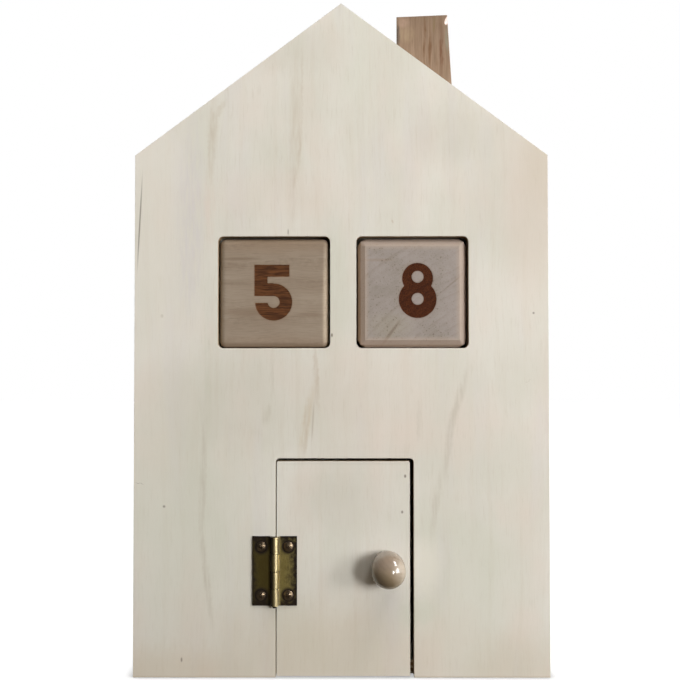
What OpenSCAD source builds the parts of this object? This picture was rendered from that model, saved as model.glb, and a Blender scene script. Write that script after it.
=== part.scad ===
// A wooden advent calendar: a small plywood house with a hinged door, two number cubes that
// slide into windows, and a chimney block on the right slope of the roof.
// Sizes are in millimetres. The house stands on z = 0, its front faces -y, x runs to the right,
// and the origin is the middle of the base's underside.

/* [House] */
// Width of the house over its side walls
house_w = 150; // [125:1:180]
// Height of the eaves, where the roof starts
eaves_h = 188.5; // [160:0.5:220]
// Height of the ridge
ridge_h = 244.2; // [225:0.1:290]
// Thickness of the plywood that every panel is cut from
ply_t = 5; // [4.2:0.1:6]

/* [Windows and cubes] */
// How far the windows sit to the right of the centre line
window_shift = 0.7; // [0:0.1:3]
// Edge length of a number cube
cube_size = 39.5; // [33:0.5:46]
// How far a cube's face lies behind the front of the house
cube_recess = 0.7; // [0.4:0.1:2]
// Clearance between a cube and the back panel that stops it
cube_back_gap = 0.3; // [0.2:0.05:0.6]
// Clearance between a cube and the shelf that it slides on
cube_play = 0.2; // [0.1:0.05:0.4]
// Gap between a cube and each side of its window
window_side_gap = 0.6; // [0.4:0.1:1.5]
// Gap between a cube and the top of its window
window_head_gap = 0.8; // [0.5:0.1:2]
// Gap between a cube and the bottom of its window
window_sill_gap = 0.3; // [0.3:0.1:1]
// Height of the windows' lower edge
window_sill_h = 118.3; // [100:0.1:140]
// Corner radius of the windows
window_corner_r = 2; // [1:0.1:4]
// Width of the front panel between the windows
mullion_w = 9.5; // [7:0.1:14]
// Radius of the left cube's rounded edges
left_edge_r = 2.2; // [1:0.1:3]
// Width of the bevel round each face of the right cube
right_bevel_w = 3; // [1.5:0.1:4]
// Depth of the bevel at the edges of the right cube
right_bevel_depth = 0.75; // [0.3:0.05:0.9]
// Diameter of the holes in the back, through which a finger pushes the cubes out
finger_hole_d = 22; // [18:0.5:28]

/* [Door] */
// How far the door opening sits to the right of the centre line
opening_shift = 1.2; // [0:0.1:3]
// Width of the door opening
opening_w = 49.8; // [40:0.1:60]
// Height of the door opening
opening_h = 78.5; // [65:0.5:94]
// Radius of the opening's upper corners
opening_corner_r = 1.5; // [1:0.1:3]
// Gap between the door and the opening at the hinge
door_hinge_gap = 0.35; // [0.3:0.05:0.8]
// Gap between the door and the opening at the latch side
door_latch_gap = 1.4; // [0.6:0.1:2]
// Gap above the door
door_head_gap = 1; // [0.5:0.1:2]
// Gap under the door
door_foot_gap = 0.5; // [0.3:0.1:1.5]
// Radius of the door's upper corners
door_corner_r = 0.8; // [0.6:0.1:2.5]

/* [Hinge] */
// Length of the hinge along its pin
hinge_l = 24.8; // [20:0.2:32]
// Distance from the pin's axis to the outer edge of a leaf
leaf_w = 8; // [7.6:0.1:10]
// Thickness of the brass sheet
sheet_t = 0.7; // [0.6:0.05:1]
// Diameter of the hinge pin
pin_d = 1.5; // [1.3:0.05:2]
// Radial clearance between the pin and the knuckles
pin_play = 0.05; // [0.03:0.01:0.08]
// Number of knuckles, shared in turn by the two leaves
knuckle_count = 4; // [3:1:6]
// Gap between neighbouring knuckles
knuckle_gap = 0.25; // [0.15:0.05:0.5]
// Gap between a leaf and the barrel where the other leaf's knuckles turn
barrel_gap = 0.2; // [0.2:0.05:0.5]
// Height of the barrel above the face that the leaves lie on
barrel_lift = 0.2; // [0.15:0.05:0.4]
// Width of the seam where the rolled sheet meets its leaf
seam_w = 0.2; // [0.1:0.05:0.3]
// How far the pin reaches past the lower end of the barrel
pin_tail = 0.6; // [0.3:0.1:1.5]
// How far the pin's axis sits to the left of the middle of the hinge gap
hinge_set = 0.45; // [0:0.05:0.6]
// How far the middle of the hinge lies below the middle of the door
hinge_drop = 0.8; // [0:0.1:5]
// Distance from the outer edge of a leaf to its screws
hinge_screw_edge = 3.1; // [2.4:0.1:3.6]
// Distance from the ends of a leaf to its screws
hinge_screw_end = 3.7; // [2.4:0.05:5]
// Shank diameter of the hinge screws
hinge_screw_d = 1.6; // [1.2:0.1:2]
// Length of the hinge screws under the head
hinge_screw_l = 4.6; // [3.8:0.1:4.9]
// Diameter of the domed head of the hinge screws
hinge_head_d = 3.6; // [3:0.1:4]
// Height of the domed head of the hinge screws
hinge_head_h = 1; // [0.8:0.05:1.1]
// Height of the straight rim of that head
hinge_head_rim = 0.25; // [0.15:0.05:0.4]
// Length of the arms of the cross recess in that head
hinge_cross_l = 2; // [1.5:0.1:2.4]
// Width of the arms of the cross recess
hinge_cross_w = 0.45; // [0.35:0.05:0.6]
// Depth of the cross recess below the top of the head
hinge_cross_depth = 0.55; // [0.4:0.05:0.65]

/* [Knob] */
// Largest diameter of the knob
knob_d = 12.1; // [10:0.1:15]
// Length of the knob from the door to its tip
knob_l = 15.5; // [13.5:0.1:18]
// Diameter of the knob's foot
knob_foot_d = 9.2; // [7:0.1:10]
// Height of the knob's foot
knob_foot_h = 0.6; // [0.4:0.1:2]
// Radius of the shoulder between the foot and the side of the knob
knob_shoulder_r = 1.4; // [1:0.1:2.6]
// Distance from the knob's axis to the latch edge of the door
knob_edge = 8.05; // [7.8:0.05:15]
// How far the knob sits above the middle of the door
knob_rise = 0.6; // [0:0.1:5]
// Shank diameter of the knob's screw
knob_screw_d = 2.5; // [2:0.1:3]
// Length of the knob's screw
knob_screw_l = 13; // [10.5:0.5:15.5]
// Head diameter of the knob's screw
knob_screw_head_d = 5; // [4:0.1:6]

/* [Chimney] */
// Width of the chimney block at its top
chimney_w = 18.3; // [15:0.1:22]
// Depth of the chimney block
chimney_d = 18.5; // [15:0.5:23]
// Distance of the middle of the chimney's top from the centre line
chimney_x = 30.9; // [26:0.1:40]
// Angle by which the right side of the chimney leans outwards towards the roof
chimney_lean = 3.5; // [0:0.5:5]
// How far the chimney's top reaches above the ridge, at its right edge
chimney_top_rise = 0.3; // [-5:0.1:5]
// How much lower the left edge of the chimney's top is
chimney_top_fall = 0.8; // [0:0.1:2]
// Diameter of the dowel that holds the chimney
dowel_d = 6; // [5:0.1:8]
// Length of the dowel, which starts at the inner face of the roof
dowel_l = 14; // [12:0.5:16]
// Chamfer at both ends of the dowel
dowel_chamfer = 0.6; // [0.4:0.1:1]

/* [Hidden] */

// Facets of the drawn curves, and the overrun of every cut past the face that it leaves by.
$fn = 64;
overrun = 1;
// Clearance of a screw or dowel in its hole, and the share of a screw's length that its point takes.
screw_play = 0.05;
screw_point_share = 0.25;

// Front to back: the cubes set the depth of the house.
body_d = cube_recess + cube_size + cube_back_gap + ply_t;
front_y = -body_d / 2;
back_y = body_d / 2;
inner_front_y = front_y + ply_t;
inner_back_y = back_y - ply_t;
inner_d = inner_back_y - inner_front_y;
middle_y = (inner_front_y + inner_back_y) / 2;

// The pitch of the roof, and the inside of the side walls.
half_w = house_w / 2;
pitch = atan((ridge_h - eaves_h) / half_w);
inner_half_w = half_w - ply_t;

// Windows, and the cubes that sit in them.
window_w = cube_size + 2 * window_side_gap;
window_h = window_sill_gap + cube_size + window_head_gap;
window_left_x = window_shift - mullion_w / 2 - window_w;
window_right_x = window_shift + mullion_w / 2;
cube_left_x = window_left_x + window_w / 2;
cube_right_x = window_right_x + window_w / 2;
cube_z = window_sill_h + window_sill_gap + cube_size / 2;
cube_y = front_y + cube_recess + cube_size / 2;
shelf_top = window_sill_h + window_sill_gap - cube_play;
pocket_head = window_sill_h + window_h;

// Door opening and door.
opening_left_x = opening_shift - opening_w / 2;
opening_right_x = opening_shift + opening_w / 2;
door_left_x = opening_left_x + door_hinge_gap;
door_right_x = opening_right_x - door_latch_gap;
door_w = door_right_x - door_left_x;
door_h = opening_h - door_head_gap - door_foot_gap;
door_middle_z = door_foot_gap + door_h / 2;

// Hinge: the pin's axis stands in front of the gap between the panel and the door.
pin_r = pin_d / 2;
bore_r = pin_r + pin_play;
barrel_r = bore_r + sheet_t;
pin_out = barrel_r + barrel_lift;
pin_x = opening_left_x + door_hinge_gap / 2 - hinge_set;
pin_y = front_y - pin_out;
hinge_z = door_middle_z - hinge_drop - hinge_l / 2;
knuckle_l = hinge_l / knuckle_count;
leaf_root = barrel_r + barrel_gap;
hinge_screw_out = leaf_w - hinge_screw_edge;
hinge_screw_pitch = hinge_l - 2 * hinge_screw_end;
// The underside of the leaf bends up into the barrel along a line that just cuts its circle.
root_r = 0.98 * barrel_r;
root_angle = -atan(pin_out / leaf_root) - acos(root_r / norm([leaf_root, pin_out]));
// The seam lies just above the place where the leaf meets the barrel.
seam_angle = -asin((pin_out - sheet_t) / barrel_r) + asin(seam_w / barrel_r);

// Knob.
knob_r = knob_d / 2;
knob_x = door_right_x - knob_edge;
knob_z = door_middle_z + knob_rise;

// Chimney.
chimney_left_x = chimney_x - chimney_w / 2;
chimney_right_x = chimney_x + chimney_w / 2;
chimney_right_top = ridge_h + chimney_top_rise;
chimney_left_top = chimney_right_top - chimney_top_fall;

// Height of a line parallel to the roof's outer face and an inset below it, at a given x.
function roof_z(x, inset = 0) = ridge_h - inset / cos(pitch) - abs(x) * tan(pitch);

// Where the chimney's right side, which leaves its top at x and z, leans down to the roof's
// outer face.
function chimney_foot_x(x, z) =
    (x - (ridge_h - z) * tan(chimney_lean)) / (1 - tan(pitch) * tan(chimney_lean));

// The two corners of the mitre at an eaves, on side -1 or 1: outer corner, then inner corner.
function eaves_mitre(side) = [
    [side * half_w, roof_z(half_w)],
    [side * inner_half_w, roof_z(inner_half_w, ply_t)]
];

// Extrudes a profile drawn in x and z from y to y + depth.
module along_y(y, depth) {
    translate([0, y + depth, 0])
        rotate([90, 0, 0])
            linear_extrude(depth)
                children();
}

// A rectangle with round corners, whose lower left corner is at the origin.
module rounded_rect(w, h, r) {
    union() {
        translate([r, 0]) square([w - 2 * r, h]);
        translate([0, r]) square([w, h - 2 * r]);
        for (x = [r, w - r], z = [r, h - r])
            translate([x, z]) circle(r);
    }
}

// The pentagon of the house's front.
module house_outline() {
    polygon([
        [-half_w, 0], [half_w, 0], [half_w, roof_z(half_w)], [0, ridge_h], [-half_w, roof_z(half_w)]
    ]);
}

// A board between the front and back panels, from x and z to x + w and z + h.
module inner_board(x, z, w, h) {
    along_y(inner_front_y, inner_d)
        translate([x, z]) square([w, h]);
}

// A countersunk wood screw along +z, with the flat of its head at the origin.
// With play it is the hole for that screw, and the hole runs out through the head.
module countersunk_screw(d, l, head_d, play = 0) {
    r = d / 2 + play;
    head_r = head_d / 2 + play;
    point_l = l * screw_point_share;
    union() {
        cylinder(h = head_r - r, r1 = head_r, r2 = r);
        cylinder(h = l - point_l + play, r = r);
        translate([0, 0, l - point_l + play])
            cylinder(h = point_l, r1 = r, r2 = 0);
        if (play > 0)
            translate([0, 0, -overrun]) cylinder(h = overrun, r = head_r);
    }
}

// The shank of a hinge screw along -z, with the underside of its head at the origin.
// With play it is the hole for that shank.
module hinge_screw_shank(play = 0) {
    r = hinge_screw_d / 2 + play;
    point_l = hinge_screw_l * screw_point_share;
    union() {
        translate([0, 0, point_l - hinge_screw_l - play])
            cylinder(h = hinge_screw_l - point_l + play, r = r);
        translate([0, 0, -hinge_screw_l - play]) cylinder(h = point_l, r1 = 0, r2 = r);
    }
}

// A hinge screw: a straight rim, a dome over it, and a cross recess in the dome.
module hinge_screw() {
    head_r = hinge_head_d / 2;
    dome_h = hinge_head_h - hinge_head_rim;
    dome_r = (dome_h * dome_h + head_r * head_r) / (2 * dome_h);
    union() {
        hinge_screw_shank();
        difference() {
            intersection() {
                translate([0, 0, hinge_head_h - dome_r]) sphere(dome_r);
                cylinder(h = hinge_head_h, r = head_r);
            }
            for (turn = [0, 90])
                rotate(turn)
                    translate([
                        -hinge_cross_l / 2, -hinge_cross_w / 2, hinge_head_h - hinge_cross_depth
                    ])
                        cube([hinge_cross_l, hinge_cross_w, hinge_cross_depth + overrun]);
        }
    }
}

// Puts its children at both screws of the leaf on side -1 or 1, with +z out of the leaf's face.
module at_hinge_screws(side) {
    for (end = [-1, 1])
        translate([
            pin_x + side * hinge_screw_out,
            front_y - sheet_t,
            hinge_z + hinge_l / 2 + end * hinge_screw_pitch / 2
        ])
            rotate([90, 0, 0]) children();
}

// Puts its children on the knob's axis at the back of the door, with +z towards the knob.
module at_knob_screw() {
    translate([knob_x, inner_front_y, knob_z])
        rotate([90, 0, 0]) children();
}

// Puts its children under the chimney at the inner face of the roof, with +z out of the roof.
module at_chimney_dowel() {
    translate([chimney_x, middle_y, roof_z(chimney_x)])
        rotate([0, pitch, 0])
            translate([0, 0, -ply_t]) children();
}

// The hole for the dowel, through the roof board and into the foot of the chimney.
module dowel_hole() {
    at_chimney_dowel()
        translate([0, 0, -overrun])
            cylinder(h = dowel_l + screw_play + overrun, r = dowel_d / 2 + screw_play);
}

module hinge_screw_holes(side) {
    at_hinge_screws(side) hinge_screw_shank(screw_play);
}

// Front panel: one sheet with two windows and a door opening that runs out at the foot.
module front_panel() {
    color("antiquewhite")
    difference() {
        along_y(front_y, ply_t)
            difference() {
                house_outline();
                for (x = [window_left_x, window_right_x])
                    translate([x, window_sill_h])
                        rounded_rect(window_w, window_h, window_corner_r);
                translate([opening_left_x, 0])
                    rounded_rect(opening_w, opening_h, opening_corner_r);
                translate([opening_left_x, -overrun])
                    square([opening_w, opening_h / 2 + overrun]);
            }
        hinge_screw_holes(-1);
    }
}

// Back panel: the same outline, with a finger hole behind each cube.
module back_panel() {
    color("antiquewhite")
    along_y(inner_back_y, ply_t)
        difference() {
            house_outline();
            for (x = [cube_left_x, cube_right_x])
                translate([x, cube_z]) circle(d = finger_hole_d);
        }
}

// Side wall on side -1 or 1, mitred where the roof board meets it.
module side_wall(side) {
    mitre = eaves_mitre(side);
    color("wheat")
    along_y(inner_front_y, inner_d)
        polygon([[side * half_w, 0], mitre[0], mitre[1], [side * inner_half_w, 0]]);
}

// Base board between the side walls. Its front edge stops the door.
module base_board() {
    color("wheat")
    inner_board(-inner_half_w, 0, 2 * inner_half_w, ply_t);
}

// Roof board on side -1 or 1, mitred at the eaves and at the ridge.
module roof_board(side) {
    mitre = eaves_mitre(side);
    color("wheat")
    difference() {
        along_y(inner_front_y, inner_d)
            polygon([mitre[0], [0, ridge_h], [0, roof_z(0, ply_t)], mitre[1]]);
        if (side > 0) dowel_hole();
    }
}

// Chimney: a block of darker wood with an upright left side, cut to the pitch of the roof.
module chimney() {
    foot_x = chimney_foot_x(chimney_right_x, chimney_right_top);
    color("tan")
    difference() {
        along_y(middle_y - chimney_d / 2, chimney_d)
            polygon([
                [chimney_left_x, roof_z(chimney_left_x)], [foot_x, roof_z(foot_x)],
                [chimney_right_x, chimney_right_top], [chimney_left_x, chimney_left_top]
            ]);
        dowel_hole();
    }
}

// Dowel between the roof and the chimney, chamfered at both ends.
module chimney_dowel() {
    r = dowel_d / 2;
    color("burlywood")
    at_chimney_dowel()
        union() {
            cylinder(h = dowel_chamfer, r1 = r - dowel_chamfer, r2 = r);
            translate([0, 0, dowel_chamfer]) cylinder(h = dowel_l - 2 * dowel_chamfer, r = r);
            translate([0, 0, dowel_l - dowel_chamfer])
                cylinder(h = dowel_chamfer, r1 = r, r2 = r - dowel_chamfer);
        }
}

// Shelf that the cubes slide on, from wall to wall.
module cube_shelf() {
    color("wheat")
    inner_board(-inner_half_w, shelf_top - ply_t, 2 * inner_half_w, ply_t);
}

// Board over the cubes, which lies on the divider and the two guides.
module pocket_top() {
    left = window_left_x - ply_t;
    right = window_right_x + window_w + ply_t;
    color("wheat")
    inner_board(left, pocket_head, right - left, ply_t);
}

// Upright strip between the cubes, as wide as the panel between the windows.
module pocket_divider() {
    color("wheat")
    inner_board(window_left_x + window_w, shelf_top, mullion_w, pocket_head - shelf_top);
}

// Upright board beside the outer face of a cube, from the x of its left face.
module pocket_guide(x) {
    color("wheat")
    inner_board(x, shelf_top, ply_t, pocket_head - shelf_top);
}

// Cuts a cube at x to the outline that its children draw round the origin, along all three axes.
module number_cube(x) {
    color("burlywood")
    translate([x, cube_y, cube_z])
        intersection_for(turn = [[0, 0, 0], [90, 0, 0], [0, 90, 0]])
            rotate(turn)
                linear_extrude(cube_size, center = true)
                    children();
}

// Left cube, with rounded edges.
module number_cube_left() {
    number_cube(cube_left_x)
        translate([-cube_size / 2, -cube_size / 2])
            rounded_rect(cube_size, cube_size, left_edge_r);
}

// Right cube, with a flat bevel round every face.
module number_cube_right() {
    half = cube_size / 2;
    corner = half - right_bevel_depth;
    flat = half - right_bevel_w;
    number_cube(cube_right_x)
        polygon([
            [half, -flat], [half, flat], [corner, corner], [flat, half],
            [-flat, half], [-corner, corner], [-half, flat], [-half, -flat],
            [-corner, -corner], [-flat, -half], [flat, -half], [corner, -corner]
        ]);
}

// Door: a sheet that fills the opening, with holes for the hinge screws and the knob's screw.
module door() {
    color("antiquewhite")
    difference() {
        along_y(front_y, ply_t)
            translate([door_left_x, door_foot_gap])
                union() {
                    rounded_rect(door_w, door_h, door_corner_r);
                    square([door_w, door_h / 2]);
                }
        hinge_screw_holes(1);
        at_knob_screw()
            countersunk_screw(knob_screw_d, knob_screw_l, knob_screw_head_d, screw_play);
    }
}

// Turned knob: a low foot, a round shoulder, and a straight side that ends in a half ball.
module door_knob() {
    ball_h = knob_l - knob_r;
    side_h = knob_foot_h + knob_shoulder_r;
    color("linen")
    difference() {
        translate([knob_x, front_y, knob_z])
            rotate([90, 0, 0])
                rotate_extrude()
                    intersection() {
                        square([knob_r, knob_l]);
                        union() {
                            square([knob_foot_d / 2, knob_foot_h]);
                            translate([0, ball_h]) circle(knob_r);
                            translate([0, knob_foot_h])
                                square([knob_r - knob_shoulder_r, ball_h - knob_foot_h]);
                            translate([0, side_h]) square([knob_r, ball_h - side_h]);
                            translate([knob_r - knob_shoulder_r, side_h])
                                circle(knob_shoulder_r);
                        }
                    }
        at_knob_screw()
            countersunk_screw(knob_screw_d, knob_screw_l, knob_screw_head_d, screw_play);
    }
}

module knob_screw() {
    color("silver")
    at_knob_screw()
        countersunk_screw(knob_screw_d, knob_screw_l, knob_screw_head_d);
}

// Section through a knuckle: the sheet runs in along the wood and rolls round the pin,
// and its end leaves a narrow seam above the leaf. The pin's axis is the origin.
module knuckle_section() {
    difference() {
        union() {
            circle(barrel_r);
            polygon([
                [leaf_root, -pin_out], [leaf_root, sheet_t - pin_out], [0, sheet_t - pin_out],
                [root_r * cos(root_angle), root_r * sin(root_angle)]
            ]);
        }
        circle(bore_r);
        rotate(seam_angle)
            translate([bore_r / 2, 0]) square([barrel_r, seam_w]);
    }
}

// One leaf, drawn on the right of the pin, with the knuckles whose number from the top
// is first, first + 2 and so on.
module hinge_leaf(first) {
    difference() {
        union() {
            translate([leaf_root, -pin_out, 0])
                cube([leaf_w - leaf_root, sheet_t, hinge_l]);
            for (i = [first : 2 : knuckle_count - 1])
                translate([0, 0, hinge_l - (i + 1) * knuckle_l + knuckle_gap / 2])
                    linear_extrude(knuckle_l - knuckle_gap)
                        knuckle_section();
        }
        for (end = [-1, 1])
            translate([
                hinge_screw_out, -pin_out, hinge_l / 2 + end * hinge_screw_pitch / 2
            ])
                rotate([90, 0, 0])
                    cylinder(
                        h = 2 * sheet_t, r = hinge_screw_d / 2 + screw_play, center = true
                    );
    }
}

// A leaf on side -1 or 1 in its place on the house. The section's -y is towards the wood.
module placed_leaf(side, first) {
    color("darkgoldenrod")
    translate([pin_x, pin_y, hinge_z])
        mirror([side < 0 ? 1 : 0, 0, 0])
            mirror([0, 1, 0])
                hinge_leaf(first);
}

module hinge_pin() {
    color("goldenrod")
    translate([pin_x, pin_y, hinge_z - pin_tail])
        cylinder(h = hinge_l + pin_tail, r = pin_r);
}

module hinge_screws(side) {
    color("goldenrod")
    at_hinge_screws(side) hinge_screw();
}

front_panel();
back_panel();
side_wall(-1);  // left_wall
side_wall(1);  // right_wall
base_board();
roof_board(-1);  // roof_left
roof_board(1);  // roof_right
chimney();
chimney_dowel();
cube_shelf();
pocket_top();
pocket_divider();
pocket_guide(window_left_x - ply_t);  // pocket_guide_left
pocket_guide(window_right_x + window_w);  // pocket_guide_right
number_cube_left();
number_cube_right();
door();
door_knob();
knob_screw();
placed_leaf(-1, 0);  // hinge_leaf_frame
placed_leaf(1, 1);  // hinge_leaf_door
hinge_pin();
hinge_screws(-1);  // hinge_screws_frame
hinge_screws(1);  // hinge_screws_door
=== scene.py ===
# %% [markdown]
# # A wooden advent calendar
# The real object is a small house of thin plywood. Two number cubes sit in its windows and show
# the day, and a door on a brass hinge closes the room below. Its joints and main shapes come
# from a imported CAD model. This lesson adds what a camera sees from close by: grain, burnt
# figures, worn brass, gloss and light. The model is loaded first, because every later piece
# is placed by it.

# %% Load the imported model
import math

import bmesh
import bpy
import numpy as np
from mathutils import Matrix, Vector


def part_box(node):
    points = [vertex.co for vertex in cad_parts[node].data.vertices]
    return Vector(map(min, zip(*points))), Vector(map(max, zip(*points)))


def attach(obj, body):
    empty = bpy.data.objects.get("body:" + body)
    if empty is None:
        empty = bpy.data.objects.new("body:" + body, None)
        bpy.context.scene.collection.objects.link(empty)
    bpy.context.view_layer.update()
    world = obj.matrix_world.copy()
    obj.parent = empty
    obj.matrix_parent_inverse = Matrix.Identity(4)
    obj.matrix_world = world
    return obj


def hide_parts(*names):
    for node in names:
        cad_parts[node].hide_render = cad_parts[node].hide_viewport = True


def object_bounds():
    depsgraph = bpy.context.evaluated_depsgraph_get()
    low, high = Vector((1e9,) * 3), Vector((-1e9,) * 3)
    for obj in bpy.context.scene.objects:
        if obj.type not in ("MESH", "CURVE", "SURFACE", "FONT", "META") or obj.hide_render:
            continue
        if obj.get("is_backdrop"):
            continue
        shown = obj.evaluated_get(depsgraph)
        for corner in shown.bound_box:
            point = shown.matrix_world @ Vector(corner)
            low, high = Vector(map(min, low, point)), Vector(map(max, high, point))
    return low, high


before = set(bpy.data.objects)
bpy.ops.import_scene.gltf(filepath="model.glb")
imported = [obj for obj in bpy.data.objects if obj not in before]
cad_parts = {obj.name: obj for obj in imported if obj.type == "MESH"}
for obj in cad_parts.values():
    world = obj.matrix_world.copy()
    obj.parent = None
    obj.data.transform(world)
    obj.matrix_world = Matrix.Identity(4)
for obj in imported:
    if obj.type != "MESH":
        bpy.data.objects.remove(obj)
cad_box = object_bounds()
MM = 0.001
print("CAD nodes:", len(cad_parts), "lowest and highest corner:", *cad_box)

# %% [markdown]
# The photograph was taken from straight ahead, from about 40 cm away and a little below the
# middle of the wall, with the camera tipped up by less than two degrees. A camera this close
# makes the knob and the depth of the windows look right, which a long lens would flatten.
# Place, tilt and lens were worked out from the corners of the wall in the picture.

# %% Camera
CAMERA_PLACE = (0.0011, -0.40275, 0.11138)
CAMERA_TILT = (91.488, 0.03, 0.238)
CAMERA_LENS, SENSOR = 55.58, 36


def aim_camera(place, tilt, lens):
    """A camera at a place in metres, with its tilt in degrees and its lens in millimetres."""
    data = bpy.data.cameras.new("camera")
    data.lens = lens
    data.sensor_width = SENSOR
    data.clip_start, data.clip_end = 0.01, 20
    camera = bpy.data.objects.new("camera", data)
    camera.location = place
    camera.rotation_euler = [math.radians(angle) for angle in tilt]
    bpy.context.scene.collection.objects.link(camera)
    return camera


bpy.context.scene.camera = aim_camera(CAMERA_PLACE, CAMERA_TILT, CAMERA_LENS)
print("camera", bpy.context.scene.camera.location)

# %% [markdown]
# Every new piece here is a surface that is worked out with numpy: a grid of points whose place
# is a function of two parameters. The points go into the mesh as whole arrays, which is fast
# and leaves no loop over vertices. Where a grid closes on itself or shrinks to a pole, its
# points fall together, so they are merged and the faces are turned outwards afterwards.

# %% Grids into meshes
SAME_POINT = 1e-6


def grid_faces(rows, columns, wrap=False):
    """Quads of a grid: point (i, j) joins (i, j + 1), (i + 1, j + 1) and (i + 1, j)."""
    i, j = np.meshgrid(np.arange(rows - 1), np.arange(columns - (not wrap)), indexing="ij")
    right = (j + 1) % columns
    corners = i * columns + j, i * columns + right, (i + 1) * columns + right, (i + 1) * columns + j
    return np.stack(corners, -1).reshape(-1, 4)


def make_piece(name, points, faces, sharp=30.0, attributes=None, closed=True):
    """A mesh object from points in millimetres, with values per point kept as attributes. Edges
    that turn by more than the sharp angle stay sharp."""
    mesh = bpy.data.meshes.new(name)
    mesh.from_pydata((points * MM).tolist(), [], faces.tolist())
    for label, values in (attributes or {}).items():
        kept = mesh.attributes.new(label, "FLOAT", "POINT")
        kept.data.foreach_set("value", values.astype(np.float32).ravel())
    shell = bmesh.new()
    shell.from_mesh(mesh)
    bmesh.ops.remove_doubles(shell, verts=shell.verts, dist=SAME_POINT)
    if closed:
        bmesh.ops.recalc_face_normals(shell, faces=shell.faces)
    shell.to_mesh(mesh)
    shell.free()
    mesh.shade_smooth()
    mesh.set_sharp_from_angle(angle=math.radians(sharp))
    piece = bpy.data.objects.new(name, mesh)
    bpy.context.scene.collection.objects.link(piece)
    print(name, len(mesh.vertices), "points,", len(mesh.polygons), "faces")
    return piece


# %% [markdown]
# A material is a tree of nodes. Written out call by call, such a tree soon hides its idea, so a
# few short helpers add one node each and give back its result, and a finish reads like a sum.

# %% Short names for shader nodes
def add(tree, kind, inputs=None, **settings):
    """Adds a shader node. Its settings come first, because some of them decide which inputs it
    has, and then each input takes a value, or the output that feeds it."""
    node = tree.nodes.new("ShaderNode" + kind)
    for label, value in settings.items():
        setattr(node, label, value)
    for key, value in (inputs or {}).items():
        if isinstance(value, bpy.types.NodeSocket):
            tree.links.new(value, node.inputs[key])
        else:
            node.inputs[key].default_value = value
    return node


def calc(tree, operation, *values):
    """The result of a Math node."""
    return add(tree, "Math", dict(enumerate(values)), operation=operation).outputs[0]


def vector_calc(tree, operation, *values, out=0):
    """The result of a Vector Math node."""
    return add(tree, "VectorMath", dict(enumerate(values)), operation=operation).outputs[out]


def stretch(tree, value, low, high, to_low=0.0, to_high=1.0, ease="LINEAR"):
    """Maps low..high to to_low..to_high and stays at the ends."""
    inputs = {0: value, 1: low, 2: high, 3: to_low, 4: to_high}
    return add(tree, "MapRange", inputs, interpolation_type=ease).outputs[0]


def mix_colours(tree, share, first, second, how="MIX"):
    """Goes from the first colour to the second as share goes from 0 to 1."""
    inputs = {0: share, 6: first, 7: second}
    return add(tree, "Mix", inputs, data_type="RGBA", blend_type=how).outputs[2]


def noise(tree, vector, scale, detail=2.0, rough=0.5, out="Fac"):
    """Soft noise, about 0.5 on average. Scale is a number of waves per unit of the vector."""
    inputs = {"Vector": vector, "Scale": scale, "Detail": detail, "Roughness": rough}
    return add(tree, "TexNoise", inputs).outputs[out]


def axis_scale(tree, vector, x, y, z):
    """The vector with each of its parts multiplied."""
    return vector_calc(tree, "MULTIPLY", vector, (x, y, z))


def scaled(tree, vector, factor):
    """The vector times one factor."""
    return add(tree, "VectorMath", {0: vector, "Scale": factor}, operation="SCALE").outputs[0]


def rgb(red, green, blue):
    """A colour from its 0 to 255 values on a screen, turned to the linear light of a shader."""
    screen = np.array([red, green, blue]) / 255
    linear = np.where(screen <= 0.04045, screen / 12.92, ((screen + 0.055) / 1.055) ** 2.4)
    return (*linear.tolist(), 1.0)


def tinted(tree, colour, value, low, high, share, tint):
    """Lays a tint over a colour: nothing at the value low, and its full share at the value high."""
    return mix_colours(tree, stretch(tree, value, low, high, 0.0, share), colour, tint)


print("half of full light shows on a screen as 188, and 188 is", round(rgb(188, 188, 188)[0], 3))

# %% [markdown]
# An effect that several materials use is kept once, as a node group with named sockets. It puts
# out only values and colours that change over the surface. The shader itself stays in each
# material.

# %% Short names for node groups
def effect_group(name, inputs, outputs):
    """An empty node group: inputs gives each socket's first value, outputs each socket's kind."""
    kinds = {float: "NodeSocketFloat", tuple: "NodeSocketVector"}
    group = bpy.data.node_groups.new(name, "ShaderNodeTree")
    for label, value in inputs.items():
        made = group.interface.new_socket(label, in_out="INPUT", socket_type=kinds[type(value)])
        made.default_value = value
    for label, kind in outputs.items():
        group.interface.new_socket(label, in_out="OUTPUT", socket_type="NodeSocket" + kind)
    return group, group.nodes.new("NodeGroupInput").outputs, group.nodes.new("NodeGroupOutput")


def join_outputs(group, leave, **results):
    """Links each named result to the group's output of that name."""
    for label, result in results.items():
        group.links.new(result, leave.inputs[label])
    print("node group:", group.name, "with", len(group.nodes), "nodes")


def use_group(tree, group, **inputs):
    """Places a node group in a tree, with its inputs by name."""
    return add(tree, "Group", inputs, node_tree=group).outputs


# %% [markdown]
# Solid wood is a stack of yearly rings round the heart of the tree. Each ring darkens slowly
# and ends in a thin dark line, and fibres run along the trunk. A block of wood is cut out of
# that pattern, so its six faces agree with each other: long lines on the sides, arcs on the
# ends. The group below draws the tree round the z axis in millimetres, and each material
# decides where in the tree its block was cut. Noise takes its size from the three factors that
# its place is multiplied by, in waves per millimetre: across, across and along the fibres.

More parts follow.
